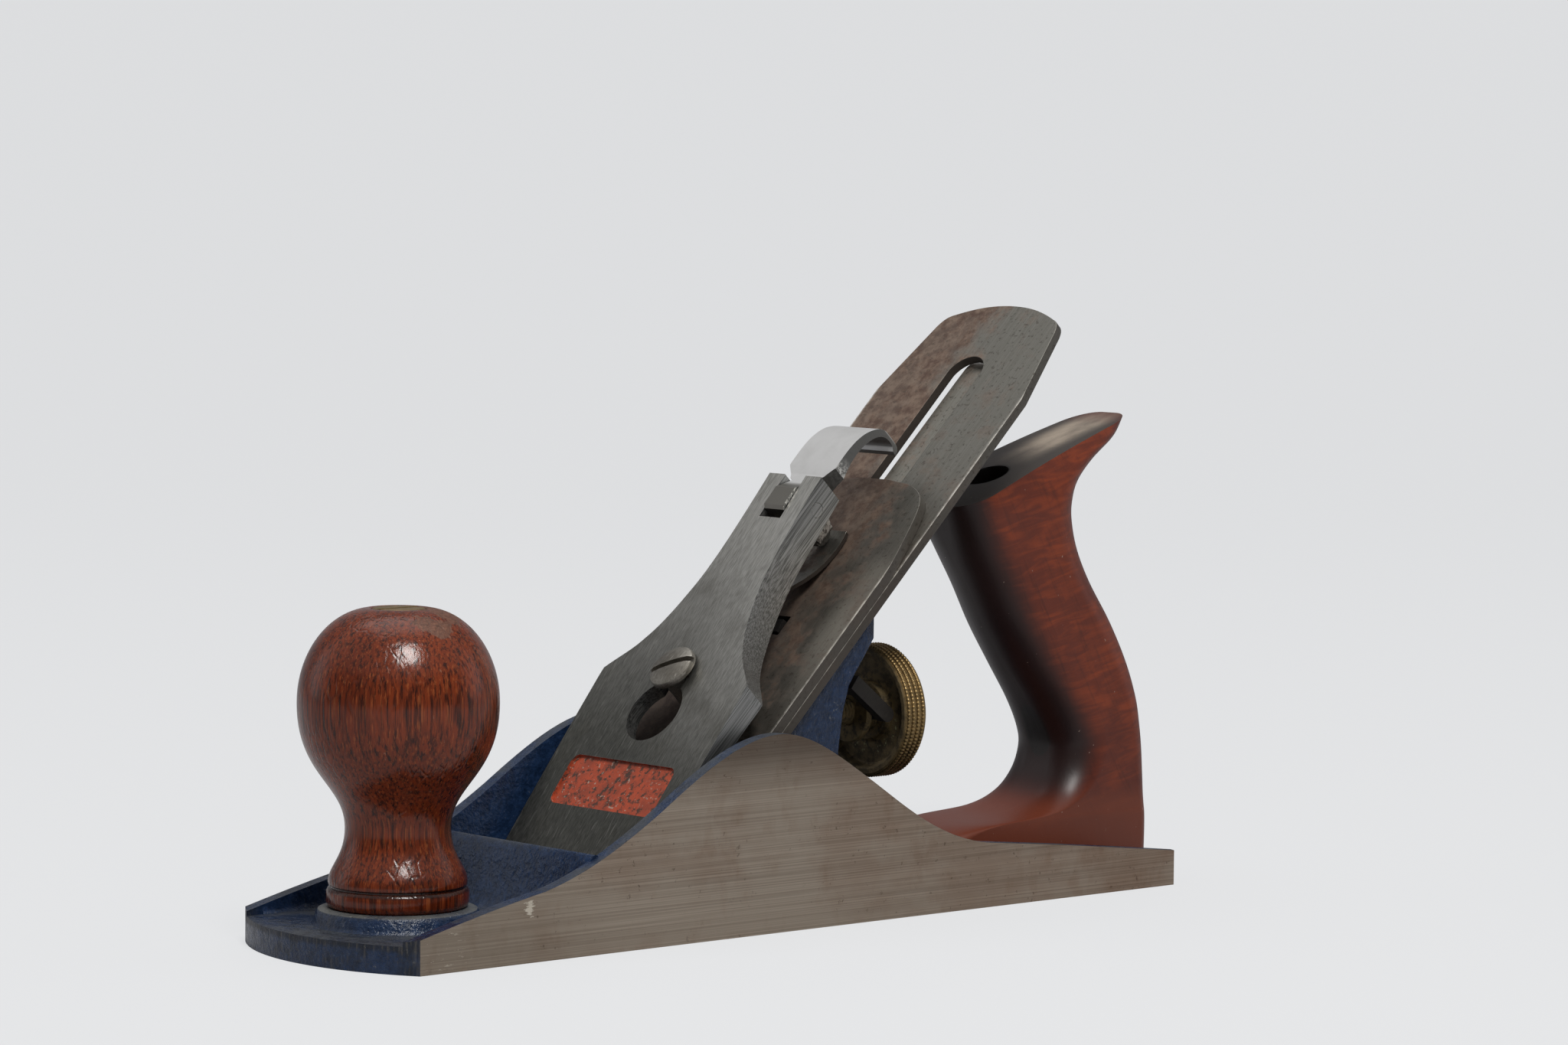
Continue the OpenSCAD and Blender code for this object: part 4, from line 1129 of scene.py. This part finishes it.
# %% A tree for knurled beads
def bead_tree():
    sizes = {"Radius": 0.0155, "Bead": 0.0006, "Pitch": 0.0015, "Count": 4, "Knurls": 110.0}
    tree, given, out = tree_of("knurled_beads", sizes)
    ring = gn(tree, "GeometryNodeCurvePrimitiveCircle", {"mode": "RADIUS"}, Resolution=440,
              Radius=given.outputs["Radius"])
    section = gn(tree, "GeometryNodeCurvePrimitiveCircle", {"mode": "RADIUS"}, Resolution=10,
                 Radius=given.outputs["Bead"])
    # The ripple is a sine of the angle round the ring, and swells the section
    place = gn(tree, "GeometryNodeInputPosition")
    split = gn(tree, "ShaderNodeSeparateXYZ", Vector=place.outputs[0])
    angle = gn_math(tree, "ARCTAN2", split.outputs[1], split.outputs[0])
    ripple = gn_math(tree, "SINE", gn_math(tree, "MULTIPLY", angle, given.outputs["Knurls"]))
    swell = gn_math(tree, "MULTIPLY_ADD", ripple, 0.16)
    swell.node.inputs[2].default_value = 0.94
    radius = gn(tree, "GeometryNodeSetCurveRadius", Curve=ring.outputs[0], Radius=swell)
    swept = gn(tree, "GeometryNodeCurveToMesh", Curve=radius.outputs[0], Profile_Curve=section.outputs[0])
    if "Scale" in swept.inputs:
        tree.links.new(swell, swept.inputs["Scale"])
    row = gn(tree, "GeometryNodeMeshLine", {"mode": "OFFSET"}, Count=given.outputs["Count"])
    step = gn(tree, "ShaderNodeCombineXYZ", Z=given.outputs["Pitch"])
    tree.links.new(step.outputs[0], row.inputs["Offset"])
    beads = gn(tree, "GeometryNodeInstanceOnPoints", Points=row.outputs[0], Instance=swept.outputs[0])
    finish_tree(tree, beads.outputs[0], given, out)
    return tree


ALONG_STUD = at(WHEEL_X, 0, WHEEL_Z) @ ALONG_X


def turn_wheel():
    profile = [(3.25, -4.8), (6.9, -4.8), (7.2, -4.5), (7.2, -3.4), (6.9, -3.1), (4.8, -3.1), (4.6, -2.9),
               (4.6, 0.7), (4.8, 0.9), (6.7, 0.9), (7, 1.2), (7.2, 2.2), (7.6, 2.4), (12.4, 2.4), (12.9, 2.1),
               (13.5, 0.3), (13.9, 0), (14.9, 0), (15.3, 0.3), (15.3, 6.4), (14.9, 6.7), (13.1, 6.7),
               (12.7, 6.4), (12.3, 5.1), (11.9, 4.8), (6.8, 4.8), (6.4, 5.1), (6.1, 6.5), (5.8, 6.7),
               (3.25, 6.7)]
    return shaded(turned("wheel_turned", profile, ALONG_STUD, 160), 25)


wheel = turn_wheel()
wheel.data.materials.append(BRASS)
stands_for(wheel, "depth_nut")
bead_sizes = {"Radius": 0.0153, "Bead": 0.00055, "Pitch": 0.0015, "Count": 4}
beads = grown("wheel_beads", bead_tree(), bead_sizes, BRASS,
              ALONG_STUD @ Matrix.Translation((0, 0, 0.0011)))
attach(beads, BODY_OF["depth_nut"])
print("wheel:", len(wheel.data.polygons), "faces, beads:", len(beads.data.polygons))

# %% [markdown]
# ## Threads
# Two parts show a thread: the stud that the wheel runs on, and the screw that moves the frog. A spiral
# curve with a small triangular section, wound round a plain shank, looks like a cut thread.


# %% A tree for threads
def thread_tree():
    tree, given, out = tree_of("thread", {"Radius": 0.003, "Turns": 10.0, "Length": 0.01, "Tooth": 0.0004})
    spiral = gn(tree, "GeometryNodeCurveSpiral", Resolution=40, Rotations=given.outputs["Turns"],
                Start_Radius=given.outputs["Radius"], End_Radius=given.outputs["Radius"],
                Height=given.outputs["Length"])
    tooth = gn(tree, "GeometryNodeCurvePrimitiveCircle", {"mode": "RADIUS"}, Resolution=6,
               Radius=given.outputs["Tooth"])
    swept = gn(tree, "GeometryNodeCurveToMesh", Curve=spiral.outputs[0], Profile_Curve=tooth.outputs[0],
               Fill_Caps=True)
    finish_tree(tree, swept.outputs[0], given, out)
    return tree


THREAD = thread_tree()


def threaded(name, node, radius, start, end, z, pitch, material):
    """A thread round a bar along X, riding with the node that it belongs to."""
    values = {"Radius": (radius - 0.38) * MM, "Turns": (end - start) / pitch,
              "Length": (end - start) * MM, "Tooth": 0.00036}
    thread = grown(name, THREAD, values, material, at(start, 0, z) @ ALONG_X)
    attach(thread, BODY_OF[node])


def bar_along(name, node, profile, z, material, sides=64):
    """A turned bar along X that stands for a node."""
    bar = shaded(turned(name, profile, at(0, 0, z) @ ALONG_X, sides))
    bar.data.materials.append(material)
    return stands_for(bar, node)


stud_line = [(0, 10), (2.7, 10), (2.9, 10.3), (2.9, 49.2), (2.4, 49.8), (0, 49.8)]
stud = bar_along("stud_bar", "depth_stud", stud_line, WHEEL_Z, BRASS)
threaded("stud_thread", "depth_stud", 3.2, 28.2, 49.0, WHEEL_Z, 1.06, BRASS)
print("threads on", stud.name)

# %% [markdown]
# ## Screws with slotted heads
# The two frog screws are a pair with their washers, so a tree makes one and sets it on two points. The
# other screws are single turned pieces, each with its slot cut by a block and its edges eased.


# %% A tree for the pair of frog screws
def screw_pair_tree():
    tree, given, out = tree_of("screw_pair", {"Spacing": 0.026, "Head": 0.0046, "Slot": 0.0012})
    half = gn_math(tree, "MULTIPLY", given.outputs["Spacing"], 0.5)
    points = gn(tree, "GeometryNodeMeshLine", {"mode": "END_POINTS"}, Count=2)
    for sign, socket in ((-1.0, "Start Location"), (1.0, "Offset")):
        tree.links.new(gn(tree, "ShaderNodeCombineXYZ", Y=gn_math(tree, "MULTIPLY", half, sign)).outputs[0],
                       points.inputs[socket])

    def disc(radius, low, high):
        """A drum between two heights, with a slightly smaller top."""
        drum = gn(tree, "GeometryNodeMeshCone", {"fill_type": "NGON"}, Vertices=48, Side_Segments=1,
                  Radius_Bottom=radius, Radius_Top=gn_math(tree, "SUBTRACT", radius, 0.0004),
                  Depth=(high - low) * MM)
        raised = gn(tree, "GeometryNodeTransform", Geometry=drum.outputs[0], Translation=(0, 0, low * MM))
        return raised.outputs[0]

    head = disc(given.outputs["Head"], 18.6, 21.8)
    slot_size = gn(tree, "ShaderNodeCombineXYZ", X=0.02, Y=given.outputs["Slot"], Z=0.0036)
    slot = gn(tree, "GeometryNodeMeshCube", Size=slot_size.outputs[0])
    slot_up = gn(tree, "GeometryNodeTransform", Geometry=slot.outputs[0], Translation=(0, 0, 0.0218))
    cut_head = gn(tree, "GeometryNodeMeshBoolean", {"operation": "DIFFERENCE"}, Mesh_1=head)
    tree.links.new(slot_up.outputs[0], cut_head.inputs["Mesh 2"])
    both = gn(tree, "GeometryNodeJoinGeometry")
    for part in (cut_head.outputs[0], disc(0.0025, 3, 19.5)):
        tree.links.new(part, both.inputs[0])
    pair = gn(tree, "GeometryNodeInstanceOnPoints", Points=points.outputs[0], Instance=both.outputs[0])
    turned_pair = gn(tree, "GeometryNodeRotateInstances", Instances=pair.outputs[0], Rotation=(0, 0, 0.5))
    finish_tree(tree, turned_pair.outputs[0], given, out)
    return tree


def washer_tree():
    tree, given, out = tree_of("washer_pair", {"Spacing": 0.026, "Washer": 0.0056, "Hole": 0.0026})
    points = gn(tree, "GeometryNodeMeshLine", {"mode": "END_POINTS"}, Count=2)
    for sign, socket in ((-0.5, "Start Location"), (0.5, "Offset")):
        where = gn(tree, "ShaderNodeCombineXYZ", Y=gn_math(tree, "MULTIPLY", given.outputs["Spacing"], sign))
        tree.links.new(where.outputs[0], points.inputs[socket])
    both_radii = gn_math(tree, "ADD", given.outputs["Washer"], given.outputs["Hole"])
    middle = gn_math(tree, "MULTIPLY", both_radii, 0.5)
    ring = gn(tree, "GeometryNodeCurvePrimitiveCircle", {"mode": "RADIUS"}, Resolution=56, Radius=middle)
    wide = gn_math(tree, "SUBTRACT", given.outputs["Washer"], given.outputs["Hole"])
    section = gn(tree, "GeometryNodeCurvePrimitiveQuadrilateral", {"mode": "RECTANGLE"}, Width=wide,
                 Height=0.0014)
    swept = gn(tree, "GeometryNodeCurveToMesh", Curve=ring.outputs[0], Profile_Curve=section.outputs[0])
    pair = gn(tree, "GeometryNodeInstanceOnPoints", Points=points.outputs[0], Instance=swept.outputs[0])
    finish_tree(tree, pair.outputs[0], given, out)
    return tree


# %% Setting the pair
apart = {"Spacing": 2 * FROG_SCREW_Y * MM}
screw_pair = eased(grown("frog_screw_pair", screw_pair_tree(), apart, SCREW_METAL,
                         at(FROG_SCREW_X, 0, 0)), 0.2)
stands_for(screw_pair, "frog_screws")
washers = eased(grown("washer_pair", washer_tree(), apart, SCREW_METAL, at(FROG_SCREW_X, 0, 17.88)), 0.15)
stands_for(washers, "frog_washers")
print("screw pair:", len(screw_pair.data.polygons), "faces")

# %% Single screws and nuts


def slotted(name, node, profile, place, slot, material, width=0.2, slot_turn=0.0):
    """A turned screw or nut with a slot across its head. slot is (half width, floor, top)."""
    half, floor, top = slot
    screw = turned(name, profile, place, 72)
    cutter_block = block("slot", (-12, -half, floor), (12, half, top), place @ Matrix.Rotation(
        radians(slot_turn), 4, "Z"))
    piece = eased(combine(screw, [cutter_block], "DIFFERENCE"), width, 2, 30, 0.2)
    piece.data.materials.append(material)
    return stands_for(piece, node)


slotted("frog_adjuster", "frog_adjusting_screw",
        [(0, 10.3), (3.4, 10.3), (3.6, 10.5), (3.6, 12), (3.4, 12.15), (2.2, 12.15), (2.2, 14.2), (3.4, 14.2),
         (3.6, 14.4), (3.6, 15.4), (3.4, 15.6), (2.7, 15.7), (2.7, 31), (4.6, 31), (4.6, 34.6), (4.1, 35.5),
         (0, 35.5)], at(0, 0, ADJUSTER_Z) @ ALONG_X, (0.65, 33.2, 40), SCREW_METAL)
threaded("adjuster_thread", "frog_adjusting_screw", 3.0, 15.9, 30.8, ADJUSTER_Z, 0.907, SCREW_METAL)
slotted("clip_screw", "frog_clip_screw",
        [(0, 7), (1.7, 7), (1.9, 7.3), (1.9, 14), (3.4, 14), (3.4, 15.2), (2.9, 16), (0, 16)],
        at(0, 0, 22) @ ALONG_X, (0.6, 15, 20), SCREW_METAL)
slotted("cap_screw", "lever_cap_screw",
        [(0, -15), (3.5, -15), (3.9, -14.6), (3.9, 19.05), (5.7, 19.05), (5.95, 19.3), (5.95, 20),
         (5.7, 20.6), (4.7, 21.1), (2.6, 21.4), (0, 21.5)],
        bed_at(SCREW_S), (0.75, 19.8, 30), SCREW_METAL, slot_turn=-62)
slotted("iron_screw", "cap_iron_screw",
        [(0, -3.03), (5.9, -2.9), (6.9, -1.6), (7, -0.3), (6.8, 0), (3.9, 0), (3.9, 4.8), (3.6, 5.1),
         (0, 5.1)],
        bed_at(CAP_SCREW_S), (0.8, -5, -1.4), SCREW_METAL)
slotted("knob_nut_turned", "knob_nut",
        [(0, -13), (4.1, -13), (4.3, -12.8), (4.3, -2.9), (5.9, -2.9), (5.9, -0.3), (5.6, 0), (0, 0)],
        at(KNOB_X, 0, KNOB_TOP), (0.7, -1.2, 2), BRASS)
slotted("tote_nut_turned", "tote_nut",
        [(0, 76.5), (3.3, 76.5), (3.5, 76.8), (3.5, 85.1), (5.2, 85.1), (5.2, 87.6), (4.8, 88.05),
         (0, 88.05)],
        at(TOTE_FOOT_X, 0, PAD_TOP, -LEAN), (0.7, 87, 92), BRASS)
print("screws set")

# %% [markdown]
# ## The frog and the small steel parts
# The frog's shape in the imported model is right, so a copy of it is merged, its sharp edges are eased, and it
# gets the enamel. The small pins, clips and leaves are treated in the same way, each in its own steel.

# %% Dressing the rest
FROG_ENAMEL = blue_enamel("frog_enamel", 0.5, 0.8)
SMALL_PARTS = {
    "frog": (FROG_ENAMEL, 0.5), "frog_clip": (SCREW_METAL, 0.25), "yoke": (DARK_IRON, 0.35),
    "yoke_pin": (SCREW_METAL, 0.3), "lateral_rivet": (SCREW_METAL, 0.12), "lateral_disc": (SCREW_METAL, 0.25),
    "disc_rivet": (SCREW_METAL, 0.15), "cam_pin": (CAP_METAL, 0.25), "lever_cap_spring": (SPRING_STEEL, 0.2),
    "spring_rivet": (SCREW_METAL, 0.25), "knob_stud": (SCREW_METAL, 0.3), "tote_stud": (SCREW_METAL, 0.3)}
for node, (finish, width) in SMALL_PARTS.items():
    part = eased(cad_copy(node), width, 2, 30, 0.3)
    part.data.materials.append(finish)
    stands_for(part, node)
print("small parts:", len(SMALL_PARTS))

# %% [markdown]
# ## The table and the light
# The plane stands on white paper that curves up behind it. One tall window, above and to the right of the
# camera, gives the bright marks on the knob and lights the tote's side, whose lit orange is also painted into
# the wood; pale walls fill the rest, and the room above is darker. The lever cap's face is bright metal,
# painted dark low down and paler toward the top as a painted reflection.


# %% Paper backdrop
PAPER_TURN = -41.2


def paper():
    """White paper. The camera sees it evenly lit, with the plane's faint shadow on it."""
    f = Finish("paper")
    seen = Wire(f, f.nodes.new("ShaderNodeLightPath").outputs["Is Camera Ray"])
    f.set(Base_Color=f.mix(seen, (0.50, 0.50, 0.51), (0.11, 0.11, 0.11)),
          Emission_Color=f.mix(seen, (0, 0, 0), (0.652, 0.660, 0.672)))
    f.set(Emission_Strength=1.0, Roughness=0.9, Specular_IOR_Level=0.1)
    return f.material


def hang_paper():
    """A sheet on the table that bends up far behind, seen from the camera."""
    turn = radians(PAPER_TURN)
    away = Vector((sin(turn), -cos(turn), 0))
    along = Vector((cos(turn), sin(turn), 0))
    line = [(2.2, 0.0), (-1.2, 0.0)] + [(-1.2 - 1.2 * sin(a), 1.2 - 1.2 * cos(a)) for a in
                                        [pi / 2 * k / 16 for k in range(1, 17)]] + [(-2.4, 3.4)]
    verts = [tuple((away * d + along * w + Vector((0, 0, h))) / MM) for d, h in line for w in (-4.0, 4.0)]
    faces = [[2 * i, 2 * i + 1, 2 * i + 3, 2 * i + 2] for i in range(len(line) - 1)]
    sheet = new_piece("paper", verts, faces)
    for face in sheet.data.polygons:
        face.use_smooth = True
    sheet.data.materials.append(paper())
    return sheet


hang_paper()

# %% Lamps, sky and camera


def lamp(name, direction, distance, size, power, colour=(1, 1, 1)):
    """An area lamp that looks at the plane's middle from a direction."""
    data = bpy.data.lights.new(name, "AREA")
    data.shape = "RECTANGLE"
    data.size, data.size_y = size
    data.energy = power
    data.color = colour
    light = bpy.data.objects.new(name, data)
    bpy.context.scene.collection.objects.link(light)
    aim = Vector(direction).normalized()
    light.location = Vector((0, 0, 0.05)) + aim * distance
    light.rotation_euler = aim.to_track_quat("Z", "Y").to_euler()
    return light


lamp("window", (-0.25, -0.53, 0.81), 1.7, (0.46, 0.62), 21, (1.0, 0.985, 0.96))
lamp("ceiling", (0.1, 0.25, 1.0), 2.2, (1.6, 1.6), 9)


PAPER_TONE, ROOM_DARK, ROOM_ABOVE = (0.76, 0.77, 0.79), (0.13, 0.125, 0.12), (0.48, 0.48, 0.485)
SOFT_NEAR, SOFT_FAR = (0.34, 0.34, 0.35), (0.52, 0.53, 0.55)
BEHIND_THE_PLANE = (0.659, 0.752, 0)


def sky():
    """Pale near the horizon, where the paper is, and dim above; the camera sees only the paper's tone."""
    world = bpy.data.worlds.new("room")
    bpy.context.scene.world = world
    world.use_nodes = True
    tree = world.node_tree
    nodes, links = tree.nodes, tree.links
    shade = nodes["Background"]
    coordinates = nodes.new("ShaderNodeTexCoord")
    split = nodes.new("ShaderNodeSeparateXYZ")
    links.new(coordinates.outputs["Generated"], split.inputs[0])
    toward = nodes.new("ShaderNodeVectorMath")
    toward.operation = "DOT_PRODUCT"
    toward.inputs[1].default_value = BEHIND_THE_PLANE
    links.new(coordinates.outputs["Generated"], toward.inputs[0])

    def ranged(socket, low, high):
        node = nodes.new("ShaderNodeMapRange")
        node.interpolation_type = "SMOOTHSTEP"
        node.inputs["From Min"].default_value = low
        node.inputs["From Max"].default_value = high
        links.new(socket, node.inputs["Value"])
        return node.outputs[0]

    def blended(factor, low, high):
        node = nodes.new("ShaderNodeMix")
        node.data_type = "RGBA"
        links.new(factor, node.inputs["Factor"])
        for key, value in ((6, low), (7, high)):
            if isinstance(value, tuple):
                node.inputs[key].default_value = (*value, 1)
            else:
                links.new(value, node.inputs[key])
        return node.outputs[2]

    behind = ranged(toward.outputs["Value"], -0.25, 0.35)
    above = ranged(split.outputs["Z"], 0.30, 0.62)
    mirror_view = blended(above, blended(behind, ROOM_DARK, PAPER_TONE), ROOM_ABOVE)
    rays = nodes.new("ShaderNodeLightPath")
    soft_light = blended(behind, SOFT_NEAR, SOFT_FAR)
    pick = blended(rays.outputs["Is Glossy Ray"], soft_light, mirror_view)
    links.new(blended(rays.outputs["Is Camera Ray"], pick, PAPER_TONE), shade.inputs["Color"])
    shade.inputs["Strength"].default_value = 1.0


sky()


def set_camera(azimuth=-41.228, elevation=4.291, roll=0.51, focal=125.2, place=(-817.94, -951.84, 184.81)):
    """The photograph's own view: azimuth and elevation in degrees, focal length on a 36 mm frame."""
    a, e, r = radians(azimuth), radians(elevation), radians(roll)
    back = Vector((sin(a) * cos(e), -cos(a) * cos(e), sin(e)))
    right = (-back).cross(Vector((0, 0, 1))).normalized()
    up = right.cross(-back)
    right, up = cos(r) * right + sin(r) * up, -sin(r) * right + cos(r) * up
    data = bpy.data.cameras.new("camera")
    data.lens = focal
    data.sensor_width = 36
    data.clip_end = 50
    camera = bpy.data.objects.new("camera", data)
    bpy.context.scene.collection.objects.link(camera)
    spin = Matrix((right, up, back)).transposed().to_4x4()
    camera.matrix_world = Matrix.Translation(Vector(place) * MM) @ spin
    bpy.context.scene.camera = camera
    return camera


set_camera()
bpy.context.scene.view_settings.view_transform = "Standard"
print("camera and lamps set")
